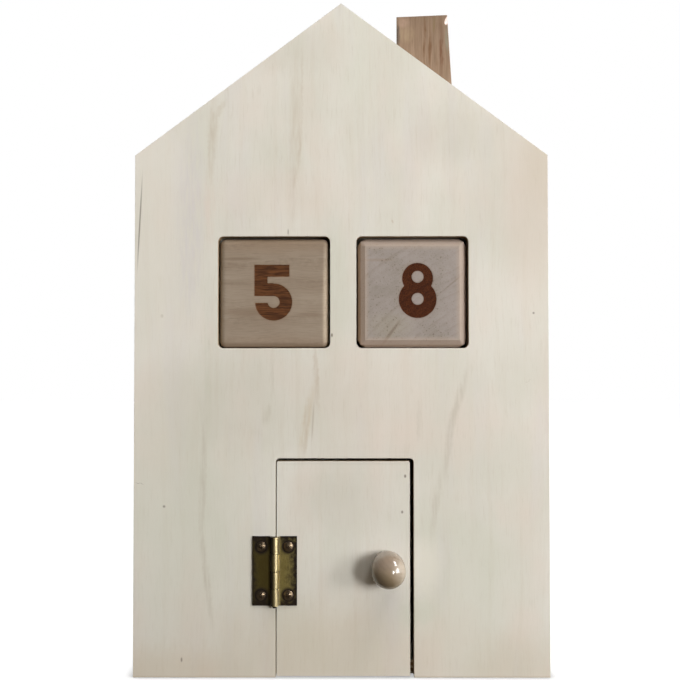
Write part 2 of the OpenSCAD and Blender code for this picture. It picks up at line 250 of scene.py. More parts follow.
# %% Solid wood, as a node group
def make_solid_wood():
    """Rings, fibres, pores and mottle of a tree whose heart is the z axis, in millimetres."""
    group, given, leave = effect_group(
        "solid_wood",
        {"Vector": (0.0, 0.0, 0.0), "RingGap": 2.0, "Waver": 1.0},
        {"Ring": "Float", "Fibre": "Float", "Pore": "Float", "Mottle": "Float"},
    )
    place = given["Vector"]
    drift = noise(group, axis_scale(group, place, 0.09, 0.09, 0.03), 1.0, 3.0, out="Color")
    drift = scaled(group, vector_calc(group, "SUBTRACT", drift, (0.5, 0.5, 0.5)), given["Waver"])
    bent = vector_calc(group, "ADD", place, drift)
    radius = vector_calc(group, "LENGTH", axis_scale(group, bent, 1, 1, 0), out="Value")
    rings = calc(group, "DIVIDE", radius, given["RingGap"])
    share = calc(group, "FRACT", rings)
    rise = stretch(group, share, 0.35, 0.92, ease="SMOOTHSTEP")
    fall = stretch(group, share, 0.92, 1.0, 1.0, 0.0)
    number = calc(group, "FLOOR", rings)
    strength = add(group, "TexWhiteNoise", {"W": number}, noise_dimensions="1D").outputs["Value"]
    strength = stretch(group, strength, 0.0, 1.0, 0.25, 1.0)
    ring = calc(group, "MULTIPLY", calc(group, "MULTIPLY", rise, fall), strength)
    fibre = noise(group, axis_scale(group, bent, 3.2, 3.2, 0.12), 1.0, 4.0, 0.6)
    cells = add(group, "TexVoronoi", {"Vector": axis_scale(group, bent, 1.9, 1.9, 0.09), "Scale": 1.0})
    pore = stretch(group, cells.outputs["Distance"], 0.10, 0.22, 1.0, 0.0)
    mottle = noise(group, axis_scale(group, place, 0.13, 0.13, 0.04), 1.0, 3.0)
    join_outputs(group, leave, Ring=ring, Fibre=fibre, Pore=pore, Mottle=mottle)
    return group


solid_wood = make_solid_wood()

# %% [markdown]
# Plywood is made of thin sheets that are peeled from a log and glued with their grain crossed.
# Its face shows one sheet: pale, with soft streaks along the grain. Its edges show all five
# layers, in turn as long fibres and as darker end grain, with fine glue lines between them.
# One group draws both, and chooses by the direction that the surface faces. It works in the
# board's own directions: x across the grain, y through the layers, z along the grain.

# %% Plywood, as a node group
PLY = 5.0
LAYERS = 5
SHEET_STEP = (61.7, 23.3)


def make_plywood():
    """Face and layered edge of a plywood board, from its own place and facing directions. Each
    sheet number moves the pattern on, so that no two boards look the same."""
    group, given, leave = effect_group(
        "plywood",
        {"Vector": (0.0, 0.0, 0.0), "Facing": (0.0, 1.0, 0.0), "Sheet": 0.0},
        {"Color": "Color", "Roughness": "Float", "Height": "Float"},
    )
    offset = add(group, "CombineXYZ", {0: calc(group, "MULTIPLY", given["Sheet"], SHEET_STEP[0]),
                                       2: calc(group, "MULTIPLY", given["Sheet"], SHEET_STEP[1])})
    place = vector_calc(group, "ADD", given["Vector"], offset.outputs[0])
    wander = noise(group, axis_scale(group, place, 0.012, 0.0, 0.009), 1.0, 2.0)
    shift = add(group, "CombineXYZ", {0: stretch(group, wander, 0.0, 1.0, -4.0, 4.0)})
    bent = vector_calc(group, "ADD", place, shift.outputs[0])

    cloud = noise(group, axis_scale(group, bent, 0.040, 0.1, 0.020), 1.0, 4.0, 0.55)
    tint = noise(group, axis_scale(group, place, 0.050, 0.1, 0.030), 1.0, 2.0)
    cool = noise(group, axis_scale(group, bent, 0.090, 0.1, 0.014), 1.0, 2.0)
    streak = noise(group, axis_scale(group, bent, 0.35, 0.4, 0.014), 1.0, 4.0, 0.6)
    dash = noise(group, axis_scale(group, bent, 1.5, 1.0, 0.13), 1.0, 3.0, 0.6)
    fibre = noise(group, axis_scale(group, bent, 4.0, 4.0, 0.20), 1.0, 3.0, 0.6)
    colour = mix_colours(group, stretch(group, cloud, 0.34, 0.66, ease="SMOOTHSTEP"),
                         rgb(217, 213, 201), rgb(225, 221, 211))
    for value, low, high, share, shade in ((tint, 0.50, 0.70, 0.45, rgb(226, 211, 199)),
                                           (tint, 0.48, 0.30, 0.40, rgb(212, 213, 198)),
                                           (cool, 0.54, 0.72, 0.35, rgb(216, 211, 210)),
                                           (streak, 0.52, 0.74, 0.24, rgb(206, 195, 176)),
                                           (dash, 0.54, 0.74, 0.26, rgb(194, 184, 166)),
                                           (fibre, 0.52, 0.80, 0.14, rgb(198, 188, 170))):
        colour = tinted(group, colour, value, low, high, share, shade)

    parts = add(group, "SeparateXYZ", {0: place}).outputs
    layer = calc(group, "MULTIPLY", parts[1], LAYERS / PLY)
    crossed = calc(group, "MODULO", calc(group, "FLOOR", layer), 2.0)
    facing = add(group, "SeparateXYZ", {0: vector_calc(group, "ABSOLUTE", given["Facing"])}).outputs
    end_grain = add(group, "Mix", {0: crossed, 2: facing[2], 3: facing[0]}).outputs[0]
    along = noise(group, axis_scale(group, place, 5.0, 5.0, 0.18), 1.0, 3.0, 0.6)
    across = noise(group, axis_scale(group, place, 0.18, 5.0, 5.0), 1.0, 3.0, 0.6)
    grain = add(group, "Mix", {0: crossed, 2: along, 3: across}).outputs[0]
    edge = tinted(group, rgb(214, 199, 170), end_grain, 0.2, 0.9, 1.0, rgb(176, 148, 112))
    edge = tinted(group, edge, grain, 0.35, 0.75, 0.55, rgb(150, 122, 88))
    from_seam = calc(group, "FRACT", calc(group, "ADD", layer, 0.5))
    from_seam = calc(group, "ABSOLUTE", calc(group, "SUBTRACT", from_seam, 0.5))
    seam = stretch(group, from_seam, 0.03, 0.09, 0.7, 0.0)
    edge = mix_colours(group, seam, edge, rgb(112, 86, 58))

    is_face = stretch(group, facing[1], 0.55, 0.85)
    colour = mix_colours(group, is_face, edge, colour)
    on_face = calc(group, "MULTIPLY_ADD", fibre, 0.6, calc(group, "MULTIPLY", streak, 0.4))
    on_face = calc(group, "SUBTRACT", on_face, stretch(group, dash, 0.60, 0.80, 0.0, 0.4))
    on_edge = calc(group, "SUBTRACT", grain, seam)
    height = add(group, "Mix", {0: is_face, 2: on_edge, 3: on_face}).outputs[0]
    roughness = stretch(group, streak, 0.3, 0.7, 0.62, 0.72)
    join_outputs(group, leave, Color=colour, Roughness=roughness, Height=height)
    return group


plywood = make_plywood()

# %% [markdown]
# A board is only convincing if its grain runs the way it was sawn. Each board therefore gets its
# own directions: across the grain, through the layers from the outer face, and along the grain.
# What one sheet happens to have, such as clouds, streaks and specks, is laid over the pattern
# as a list of soft oval marks, and one small node group draws each of them. By its half width a
# mark is fine, a streak, a cloud or a band right across the board. Streaks and clouds get a
# ragged outline, and streaks are also broken up along the grain.

# %% Finish of a board
FINE_MARK, CLOUD_MARK, BAND_MARK = 0.8, 8, 200


def turned(tree, vector, axes):
    """The vector measured along each of three directions."""
    parts = [vector_calc(tree, "DOT_PRODUCT", vector, tuple(axis), out="Value") for axis in axes]
    return add(tree, "CombineXYZ", dict(enumerate(parts))).outputs[0]


def own_place(tree, origin):
    """The point on the piece in millimetres from an origin, as Object coordinates give it."""
    point = scaled(tree, add(tree, "TexCoord").outputs["Object"], 1 / MM)
    return vector_calc(tree, "SUBTRACT", point, tuple(origin))


def new_finish(name):
    """An empty node material."""
    finish = bpy.data.materials.new(name)
    finish.use_nodes = True
    finish.node_tree.nodes.clear()
    return finish, finish.node_tree


def surface(tree, colour, roughness, height, depth, **others):
    """Ends a material: depth is the bump's height in millimetres, and others are inputs of the
    shader by name. A plain number among them is set on the shader's own socket."""
    bump = add(tree, "Bump", {"Height": height, "Distance": depth * MM}).outputs[0]
    inputs = {"Base Color": colour, "Roughness": roughness, "Normal": bump}
    inputs.update({label.replace("_", " "): value for label, value in others.items()})
    shader = add(tree, "BsdfPrincipled", inputs).outputs[0]
    add(tree, "OutputMaterial", {"Surface": shader})


def make_soft_mark():
    """A soft oval mark that may lean: 1 at its centre, 0 from its size outwards."""
    group, given, leave = effect_group(
        "soft_mark", {"Vector": (0.0, 0.0, 0.0), "Centre": (0.0, 0.0, 0.0),
                      "Size": (1.0, 1.0, 1.0), "Lean": 0.0}, {"Share": "Float"})
    away = vector_calc(group, "SUBTRACT", given["Vector"], given["Centre"])
    parts = add(group, "SeparateXYZ", {0: away}).outputs
    across = calc(group, "SUBTRACT", parts[0], calc(group, "MULTIPLY", parts[2], given["Lean"]))
    away = add(group, "CombineXYZ", {0: across, 2: parts[2]}).outputs[0]
    away = vector_calc(group, "DIVIDE", away, given["Size"])
    length = vector_calc(group, "LENGTH", away, out="Value")
    share = stretch(group, length, 0.25, 1.0, 1.0, 0.0, ease="SMOOTHSTEP")
    join_outputs(group, leave, Share=share)
    return group


soft_mark = make_soft_mark()


def marked(tree, colour, place, mark, broken=1.0):
    """A colour with one mark: (x, z, half width, half height, lean, strength, colour). Broken is
    the share of it that is left from place to place."""
    x, z, wide, high, lean, strength, tint = mark
    share = use_group(tree, soft_mark, Vector=place, Centre=(x, 0, z), Size=(wide, 1, high),
                      Lean=lean)["Share"]
    share = calc(tree, "MULTIPLY", calc(tree, "MULTIPLY", share, strength), broken)
    return mix_colours(tree, share, colour, tint)


def board_finish(name, origin, axes, sheet, marks=()):
    """Plywood on a board whose outer face holds the origin, with a list of marks."""
    finish, tree = new_finish(name)
    place = turned(tree, own_place(tree, origin), axes)
    facing = turned(tree, add(tree, "TexCoord").outputs["Normal"], axes)
    wood = use_group(tree, plywood, Vector=place, Facing=facing, Sheet=float(sheet))
    colour = wood["Color"]
    if marks:
        ragged = noise(tree, place, 0.5, 3.0, out="Color")
        ragged = vector_calc(tree, "SUBTRACT", ragged, (0.5, 0.5, 0.5))
        ragged = vector_calc(tree, "ADD", place, axis_scale(tree, ragged, 1.6, 0.0, 5.0))
        broken = noise(tree, axis_scale(tree, place, 0.9, 1.0, 0.11), 1.0, 3.0)
        broken = stretch(tree, broken, 0.36, 0.62, 0.25, 1.0)
    for mark in marks:
        wide = mark[2]
        at = ragged if FINE_MARK < wide < BAND_MARK else place
        colour = marked(tree, colour, at, mark, broken if FINE_MARK < wide < CLOUD_MARK else 1.0)
    surface(tree, colour, wood["Roughness"], wood["Height"], 0.05, Specular_IOR_Level=0.35)
    return finish


# %% [markdown]
# The door was cut out of the front panel's sheet, so both take one material and the streaks run
# on over the gap. This sheet has pink, green and grey clouds, brown streaks beside the windows
# and over the door, a split at its left edge and a few dark specks. Some marks are painted
# light and shade: broad cream marks at its sides are painted light, broad dusk marks and tan
# marks along its foot are painted shade, a cream mark right of the knob is a painted pool of
# light, and a thin band along its foot is a painted shadow line.
# The list gives each one its place from the middle of the foot, and later marks lie on top.

# %% The front sheet
BROWN, OCHRE, TAN_PAINTED_SHADE = rgb(184, 164, 138), rgb(204, 186, 158), rgb(200, 182, 156)
DARK, GREY, DUSK_PAINTED_SHADE = rgb(84, 66, 46), rgb(188, 179, 162), rgb(196, 190, 176)
CREAM_PAINTED_LIGHT, LILAC, PINK = rgb(238, 232, 221), rgb(212, 206, 208), rgb(226, 206, 193)
GREEN, UMBER = rgb(206, 207, 190), rgb(150, 126, 96)
SHEET_MARKS = [
    # Painted light: the two cream marks on this line brighten the left and right sides of the sheet.
    # Painted shade: the dusk marks darken its lower left, its upper right and the middle of the door.
    (-76, 150, 34, 130, 0, 0.42, CREAM_PAINTED_LIGHT), (76, 90, 30, 120, 0, 0.1, CREAM_PAINTED_LIGHT),
    (-60, -6, 80, 60, 0, 0.3, DUSK_PAINTED_SHADE), (-54.5, 165, 7, 50, 0.02, 0.5, LILAC),
    (-3, 140, 10, 40, 0, 0.4, GREEN), (69, 172, 16, 56, 0, 0.45, PINK),
    (73, 184, 11, 22, 0, 0.22, OCHRE), (-56, 60, 34, 60, 0, 0.35, GREEN),
    # Painted shade: the tan marks along the foot, on this line and the next, make the sheet darker and
    # warmer there.
    (44, 30, 30, 40, 0, 0.35, GREEN), (-2, 6, 60, 30, 0, 0.35, TAN_PAINTED_SHADE), (64, 0, 34, 22, 0, 0.3, TAN_PAINTED_SHADE),
    (-66, 0, 40, 16, 0, 0.35, TAN_PAINTED_SHADE), (-20, 174, 44, 14, 0, 0.2, PINK), (16, 100, 40, 30, 0, 0.2, PINK),
    (-46.6, 199, 2.6, 15, 0.05, 0.36, BROWN), (-44.5, 205, 2.2, 5, 0.6, 0.3, BROWN),
    (-47.6, 184, 2.0, 14, 0.04, 0.26, BROWN), (-48, 168, 3.0, 18, 0, 0.3, PINK),
    (-48.4, 108, 1.6, 34, -0.01, 0.4, GREEN), (-50, 72, 1.7, 34, 0.02, 0.45, GREY),
    (-48.6, 36, 1.6, 24, -0.12, 0.5, GREY), (-14.7, 205, 0.9, 36, 0.02, 0.25, BROWN),
    (-17.0, 196, 2.6, 46, 0.02, 0.25, BROWN), (-15.8, 186, 0.9, 12, 0.14, 0.3, BROWN),
    (-9.0, 108, 1.3, 16, -0.05, 0.45, BROWN), (-12.2, 93, 2.4, 18, 0.20, 0.5, OCHRE),
    (-13.1, 87, 1.4, 14, 0.08, 0.35, BROWN), (-10.3, 92, 0.5, 10, 0.06, 0.35, UMBER),
    (-27, 94, 2.2, 5, 0.3, 0.4, GREY), (-25, 110, 0.9, 14, 0, 0.3, GREY),
    (42, 98, 2.2, 18, 0.28, 0.45, GREY), (38.5, 82, 2.0, 16, 0.10, 0.4, GREY),
    (34, 62, 2.0, 16, 0.16, 0.4, GREY), (28, 92, 1.4, 9, 0, 0.3, GREY),
    (-73.2, 164, 0.42, 22, 0.05, 0.6, DARK), (-73.2, 69.6, 2.0, 0.4, 0.0, 0.5, DARK),
    (-3.4, 123, 0.5, 1.0, 0, 0.8, DARK), (23.0, 72.1, 0.6, 0.9, 0, 0.7, DARK),
    (21.9, 59.2, 0.6, 0.8, 0, 0.7, DARK), (-19.3, 160.5, 0.3, 1.6, 0, 0.6, DARK),
    (-64, 61.2, 0.7, 0.7, 0, 0.6, DARK), (69.6, 131, 0.6, 0.6, 0, 0.6, DARK),
    (-57.5, 6.3, 0.5, 1.2, 0, 0.6, DARK), (18.6, 164.3, 0.5, 1.0, -0.3, 0.4, BROWN),
    (-65, 130, 0.8, 1.0, 0, 0.4, GREY), (67.5, 106.5, 2.0, 0.5, 0, 0.4, GREY),
    # Painted light: the cream mark at (30, 40) is a pale pool of light right of the knob.
    (30, 40, 9, 14, 0, 0.4, CREAM_PAINTED_LIGHT), (27, 23, 11, 7, 0.4, 0.4, GREEN),
    (-30, 100, 60, 26, 0, 0.2, GREY), (-20, 228, 30, 12, 0, 0.2, GREY), (40, 196, 22, 16, 0, 0.2, GREY),
    # Painted shade: the last mark, a band along the whole foot, is a thin painted shadow line.
    (66, 176, 26, 44, 0, 0.3, DUSK_PAINTED_SHADE), (2, 62, 26, 18, 0, 0.25, DUSK_PAINTED_SHADE), (0, 0, 400, 0.8, 0, 0.4, BROWN),
]
X, Y, Z = np.eye(3)
front_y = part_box("front_panel")[0][1] / MM
front_sheet = board_finish("front_sheet", (0, front_y, 0), (X, Y, Z), 0, SHEET_MARKS)
print(front_sheet.name, "has", len(SHEET_MARKS), "marks, and its face is at y =", round(front_y, 2))

# %% [markdown]
# Sanded boards have edges that are just broken, by a quarter of a millimetre, and that thin line
# of light is what tells the eye that they are real. The CAD boards stay as they are. Modifiers
# on top join their loose triangles into whole faces, break the edges between those and keep the
# faces' shading flat, and the finish goes into their material slots.

# %% Boards
WELD_REACH = 1e-5
FLAT_WITHIN, EDGE_FROM = math.radians(0.5), math.radians(30)


def dress(node, finish, edge=0.25):
    """Gives a CAD node its finish and breaks its edges by a width in millimetres."""
    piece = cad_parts[node]
    piece.data.materials.clear()
    piece.data.materials.append(finish)
    if edge:
        piece.modifiers.new("weld", "WELD").merge_threshold = WELD_REACH
        flat = piece.modifiers.new("whole faces", "DECIMATE")
        flat.decimate_type, flat.angle_limit = "DISSOLVE", FLAT_WITHIN
        bevel = piece.modifiers.new("broken edges", "BEVEL")
        bevel.width, bevel.segments = edge * MM, 2
        bevel.limit_method, bevel.angle_limit = "ANGLE", EDGE_FROM
        weights = piece.modifiers.new("face normals", "WEIGHTED_NORMAL")
        weights.weight, weights.keep_sharp = 100, True
    print(node, "->", finish.name)


def corner(node, high_side):
    """The lowest or highest corner of a CAD node, in millimetres."""
    return np.array(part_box(node)[high_side]) / MM


for node in ("front_panel", "door"):
    dress(node, front_sheet)
UPRIGHT = {"back_panel": (X, -Y, Z), "left_wall": (Y, X, Z), "right_wall": (Y, -X, Z),
           "pocket_divider": (Y, X, Z), "pocket_guide_left": (Y, X, Z),
           "pocket_guide_right": (Y, -X, Z)}
LYING = {"base_board": (Y, Z, X), "cube_shelf": (Y, -Z, X), "pocket_top": (Y, Z, X)}
for sheet, (node, axes) in enumerate({**UPRIGHT, **LYING}.items(), 1):
    origin = corner(node, int(min(axes[1]) < 0))
    dress(node, board_finish(node + "_ply", origin * np.abs(axes[1]), axes, sheet))

# %% [markdown]
# The roof boards lie at the pitch of the gable, so their directions are turned with them: the
# grain runs up the slope and the layers are counted from the outer face downwards.

# %% Roof boards
ridge = corner("roof_left", 1)[2]
eaves = corner("roof_left", 0)
pitch = math.atan2(ridge - corner("left_wall", 1)[2], -eaves[0])
for name, side, sheet in (("roof_left", -1, 20), ("roof_right", 1, 21)):
    rising = np.array([-side * math.cos(pitch), 0, math.sin(pitch)])
    inwards = np.array([-side * math.sin(pitch), 0, -math.cos(pitch)])
    dress(name, board_finish(name + "_ply", (0, 0, ridge), (Y, inwards, rising), sheet))
print("roof pitch:", round(math.degrees(pitch), 2), "degrees")

# %% [markdown]
# The figures are burnt into the cubes in a heavy, round style. Each one is built from discs,
# bars and wedges. A shape is kept as a signed distance: a number for every point of the face
# that is negative inside the figure. Joining two shapes takes the smaller of their numbers,
# and cutting one out takes the larger of the first and the negative of the second.

# %% Figures as signed distances
def disc(x, y, middle, radius, across=0.0):
    """Distance to the middle of the disc, less its radius."""
    return np.hypot(x - across, y - middle) - radius


def bar(x, y, left, right, foot, head):
    """Distance to an upright box: how far outside its nearest sides the point is."""
    dx, dy = np.maximum(left - x, x - right), np.maximum(foot - y, y - head)
    return np.minimum(np.maximum(dx, dy), 0) + np.hypot(np.maximum(dx, 0), np.maximum(dy, 0))


def wedge(x, y, *corners):
    """Largest distance to the sides of a shape whose corners go round to the left."""
    sides = zip(corners, corners[1:] + corners[:1])
    return np.max([((y1 - y0) * (x - x0) - (x1 - x0) * (y - y0)) / math.hypot(x1 - x0, y1 - y0)
                   for (x0, y0), (x1, y1) in sides], axis=0)


def join(*shapes):
    """All the shapes together: the smallest of their distances."""
    return np.min(shapes, axis=0)


def cut(shape, *tools):
    """A shape with the tools cut out: the largest of its distance and theirs with minus signs."""
    return np.max([shape, *[-tool for tool in tools]], axis=0)


def digit(number, x, y):
    """The figure 0 to 8, 20.3 mm tall, round the point (0, 0)."""
    top, big, hole = 10.17, 6.87, 2.15
    if number == 0:
        return cut(join(disc(x, y, 3.3, big), disc(x, y, -3.3, big), bar(x, y, -big, big, -3.3, 3.3)),
                   disc(x, y, 3.3, hole), disc(x, y, -3.3, hole), bar(x, y, -hole, hole, -3.3, 3.3))
    if number == 1:
        return join(bar(x, y, -1.9, 2.9, -top, top),
                    wedge(x, y, (-6, 2.6), (-1.9, 5), (2.9, top), (-1.2, top), (-6, 6.9)))
    if number == 2:
        bowl = cut(disc(x, y, 3.6, 6.57), disc(x, y, 3.6, 2.2), bar(x, y, -9, 0, -4, 2.4))
        return join(bowl, bar(x, y, -6.9, 6.9, -top, -5.82),
                    wedge(x, y, (1.6, 1.9), (-6.9, -6.4), (-6.9, -9), (-0.8, -6.2), (5.6, 0.1)))
    if number == 3:
        bowls = cut(join(disc(x, y, 4.42, 5.62), disc(x, y, -3.3, big)), disc(x, y, 4.97, hole),
                    disc(x, y, -3.2, hole), bar(x, y, -9, 0, -3.72, 5.1))
        return join(bowls, bar(x, y, -2.2, 1.5, -1.1, 2.7))
    if number == 4:
        return join(bar(x, y, 0.9, 5.6, -top, top), bar(x, y, -7.4, 7.6, -6.4, -2.2),
                    wedge(x, y, (-7.4, -2.4), (-2.7, -2.4), (3, 7.2), (3, top), (0.4, top)))
    if number == 5:
        bowl = cut(disc(x, y, -3.37, 6.75, 0.1), disc(x, y, -3.37, hole, 0.1),
                   bar(x, y, -9, 0, -3.72, -1.22))
        stem = join(bar(x, y, -6.91, 5.82, 5.82, top), bar(x, y, -6.91, -2.12, -1.22, top),
                    cut(bar(x, y, -6.91, 0.1, -1.22, 3.46), disc(x, y, -3.37, hole, 0.1)))
        return join(bowl, stem)
    if number == 6:
        return cut(join(disc(x, y, -3.3, big),
                        wedge(x, y, (-6.6, -1.4), (0.2, 1.4), (4.9, top), (-0.7, top))),
                   disc(x, y, -3.3, hole))
    if number == 7:
        return join(bar(x, y, -6.9, 6.9, 5.82, top),
                    wedge(x, y, (-4.4, -top), (0.7, -top), (6.9, 6.4), (1.7, 6.4)))
    return cut(join(disc(x, y, 4.42, 5.62), disc(x, y, -3.16, big)),
               disc(x, y, 4.97, hole), disc(x, y, -3.05, hole))


print("figure 5 covers", int((digit(5, *np.mgrid[-8:8:0.1, -11:11:0.1]) < 0).sum() * 0.01), "mm2")

# %% [markdown]
# A cube's six faces are six copies of one grid: lines every quarter of a millimetre under the
# figure, wide steps beside it and close lines over the edge. The left cube's edges are sanded
# round, and the right one's faces have a flat bevel that ends in a small round edge.

# %% Edges of a cube
FINE_STEP, FINE_REACH = 0.25, 12.5


def edge_steps(flat, steps):
    """Grid lines of a face: fine in the middle, coarse up to flat, then the given steps."""
    fine = np.arange(0, FINE_REACH + FINE_STEP / 2, FINE_STEP)
    half = np.concatenate([fine, [14.2, 15.6], [flat - 0.1, flat], steps])
    return np.concatenate([-half[:0:-1], half])


def round_edge(half, radius):
    """Face lines and a shape for edges that are sanded round: the nearest point of an inner
    cube, plus the radius in the direction away from it."""
    flat = half - radius
    lines = edge_steps(flat, flat + radius * np.tan(np.radians(np.arange(7.5, 46, 7.5))))

    def shape(across, up):
        point = np.stack([across, up, np.full(across.shape, half)], -1)
        inner = np.clip(point, -flat, flat)
        away = point - inner
        return inner + away * (radius / np.linalg.norm(away, axis=-1, keepdims=True))
    return lines, shape


def bevelled_edge(half, width, depth, soft=0.5):
    """Face lines and a shape for a flat bevel: the face falls by depth over its width, measured
    to the farther of the two edges, and the outer edge is rounded with the soft radius."""
    flat, outer = half - width, half - depth
    lean = math.atan2(depth, outer - flat)
    middle = outer - soft / (math.sin(lean) + math.cos(lean))
    turns = np.linspace(lean, math.pi / 4, 4)
    steps = np.concatenate([[flat, flat + 0.1, flat + 1.0], middle + soft * np.sin(turns)])
    falls = np.concatenate([[0], np.tan(lean) * np.array([0.1, 1.0]),
                            half - middle - soft * np.cos(turns)])

    def shape(across, up):
        fall = np.interp(np.maximum(np.abs(across), np.abs(up)), steps, falls)
        return np.stack([across, up, half - fall], -1)
    return edge_steps(flat, steps[1:]), shape


cube_half = (corner("number_cube_left", 1) - corner("number_cube_left", 0))[0] / 2
sanded = round_edge(cube_half, 2.2)
bevelled = bevelled_edge(cube_half, 2.6, 1.0)
print("grid lines on a face:", len(sanded[0]), "on the sanded cube,", len(bevelled[0]), "on the other")

# %% [markdown]
# The figure is sunk by a tenth of a millimetre, as a burner leaves it. Its signed distance also
# goes into the mesh as an attribute, so that the finish can draw its outline much finer than
# the grid. Between them the cubes hold 0 to 8, with 0, 1 and 2 on both, and a 6 also reads
# as a 9, so they can show every day. The figures were burnt in by hand, a little off the middle.

# %% Cubes
SUNK, SINK_WIDTH = 0.12, 0.3
FACES = {"front": (X, Z, -Y), "back": (-X, Z, Y), "right": (Y, Z, X),
         "left": (-Y, Z, -X), "top": (X, Y, Z), "foot": (X, -Y, -Z)}


def number_cube(name, node, edge, numbers, offsets):
    """Six face grids round the node's middle, each with its figure sunk into it: the height falls
    by SUNK as the distance goes from outside the figure to a little inside it."""
    middle = (corner(node, 0) + corner(node, 1)) / 2
    lines, shape = edge
    across, up = np.meshgrid(lines, lines)
    points, faces, figure = [], [], []
    for (x_axis, y_axis, outwards), number, (dx, dy) in zip(FACES.values(), numbers, offsets):
        local = shape(across, up)
        distance = digit(number, local[..., 0] - dx, local[..., 1] - dy)
        local[..., 2] -= SUNK * np.clip(-distance / SINK_WIDTH + 0.2, 0, 1)
        place = local @ np.stack([x_axis, y_axis, outwards]) + middle
        faces.append(grid_faces(*across.shape) + sum(map(len, points)))
        points.append(place.reshape(-1, 3))
        figure.append(distance.ravel())
    piece = make_piece(name, np.concatenate(points), np.concatenate(faces), sharp=40,
                       attributes={"figure": np.concatenate(figure)})
    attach(piece, "cube_" + node.split("_")[-1])
    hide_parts(node)
    return piece


left_cube = number_cube("left_cube", "number_cube_left", sanded, (5, 0, 1, 2, 3, 4),
                        ((-0.3, 0.1), (0.4, -0.6), (-0.5, 0.5), (0.2, 0.9), (0.6, -0.2), (0.3, 0.4)))
right_cube = number_cube("right_cube", "number_cube_right", bevelled, (8, 6, 7, 0, 1, 2),
                         ((1.9, 0.9), (-0.8, 0.4), (0.5, 0.8), (-0.4, -0.5), (0.9, 0.1), (-0.6, 0.7)))

# %% [markdown]
# Both cubes are pale hardwood, sawn differently: the left one shows its long grain, with darker
# wavy lines from side to side, and the right one shows end grain, with pits and faint slanting
# rings, and paler, pinker bevels that are partly the wood's own tone and partly painted light.
# Broad bands of other wood are soft marks, as on the front sheet, but the pale band down the
# left cube's right edge is painted light. Burning follows the wood, so hard and soft fibres come
# out as lighter and darker lines inside the figure. The distance attribute gives its crisp
# outline and a faint scorched rim.

# %% Finish of the cubes
SCORCHED, CHARRED = rgb(128, 92, 58), rgb(48, 30, 18)


def cube_finish(name, node, heart, axes, ring_gap, waver, tones, burn, streaks, bands, rim=None):
    """Solid wood with a burnt figure. Heart is the axis of the tree, from the cube's middle, and
    axes turn the tree. Tones are the pale wood, the deeper wood and its dark lines, burn is two
    burnt tones, and streaks are the shares of rings, fibres and pits. Rim is (distance from the
    middle, strength, colour) of paler edges, which are partly the wood's own tone and partly
    painted light."""
    finish, tree = new_finish(name)
    middle = (corner(node, 0) + corner(node, 1)) / 2
    own = own_place(tree, middle)
    place = turned(tree, own_place(tree, middle + heart), axes)
    wood = use_group(tree, solid_wood, Vector=place, RingGap=ring_gap, Waver=waver)
    pale, deep, pit = tones
    colour = tinted(tree, pale, wood["Mottle"], 0.36, 0.64, 1.0, deep)
    for band in bands:
        colour = marked(tree, colour, own, band)
    soft = noise(tree, axis_scale(tree, place, 0.5, 0.5, 0.5), 1.0, 3.0)
    ring = calc(tree, "MULTIPLY", wood["Ring"], stretch(tree, soft, 0.35, 0.65, 0.1, 1.0))
    colour = mix_colours(tree, calc(tree, "MULTIPLY", ring, streaks[0]), colour, pit)
    colour = tinted(tree, colour, wood["Fibre"], 0.46, 0.72, streaks[1], pit)
    pits = stretch(tree, noise(tree, axis_scale(tree, place, 1.5, 1.5, 0.1), 1.0, 1.0), 0.62, 0.72)
    speck = calc(tree, "MAXIMUM", calc(tree, "MULTIPLY", wood["Pore"], 0.6), pits)
    speck = calc(tree, "MULTIPLY", speck, stretch(tree, wood["Mottle"], 0.4, 0.6, 0.3, 1.0))
    colour = mix_colours(tree, calc(tree, "MULTIPLY", speck, streaks[2]), colour, pit)
    # Partly painted light: the paler tone towards the edges stands for light on the bevels as well as the
    # wood's own tone.
    if rim:
        start, share, tint = rim
        away = add(tree, "SeparateXYZ", {0: vector_calc(tree, "ABSOLUTE", own)}).outputs
        away = calc(tree, "MAXIMUM", away[0], away[2])
        edge = stretch(tree, away, start, start + 2.6, 0.0, share, ease="SMOOTHSTEP")
        colour = mix_colours(tree, edge, colour, tint)
    distance = add(tree, "Attribute", attribute_name="figure").outputs["Fac"]
    wobble = noise(tree, own_place(tree, (0, 0, 0)), 2.2, 2.0)
    distance = calc(tree, "ADD", distance, stretch(tree, wobble, 0.0, 1.0, -0.09, 0.09))
    scorch = stretch(tree, distance, 0.0, 0.55, 0.32, 0.0)
    colour = mix_colours(tree, scorch, colour, SCORCHED)
    burnt = tinted(tree, burn[0], wood["Fibre"], 0.36, 0.62, 1.0, burn[1])
    burnt = mix_colours(tree, calc(tree, "MULTIPLY", wood["Ring"], 0.55), burnt, burn[1])
    burnt = mix_colours(tree, calc(tree, "MULTIPLY", wood["Pore"], 0.4), burnt, CHARRED)
    inside = stretch(tree, distance, -0.07, 0.05, 1.0, 0.0)
    colour = mix_colours(tree, inside, colour, burnt)
    height = calc(tree, "SUBTRACT", calc(tree, "MULTIPLY", wood["Fibre"], 0.7), wood["Pore"])
    roughness = add(tree, "Mix", {0: inside, 2: 0.55, 3: 0.78}).outputs[0]
    surface(tree, colour, roughness, height, 0.05, Specular_IOR_Level=0.12)
    return finish


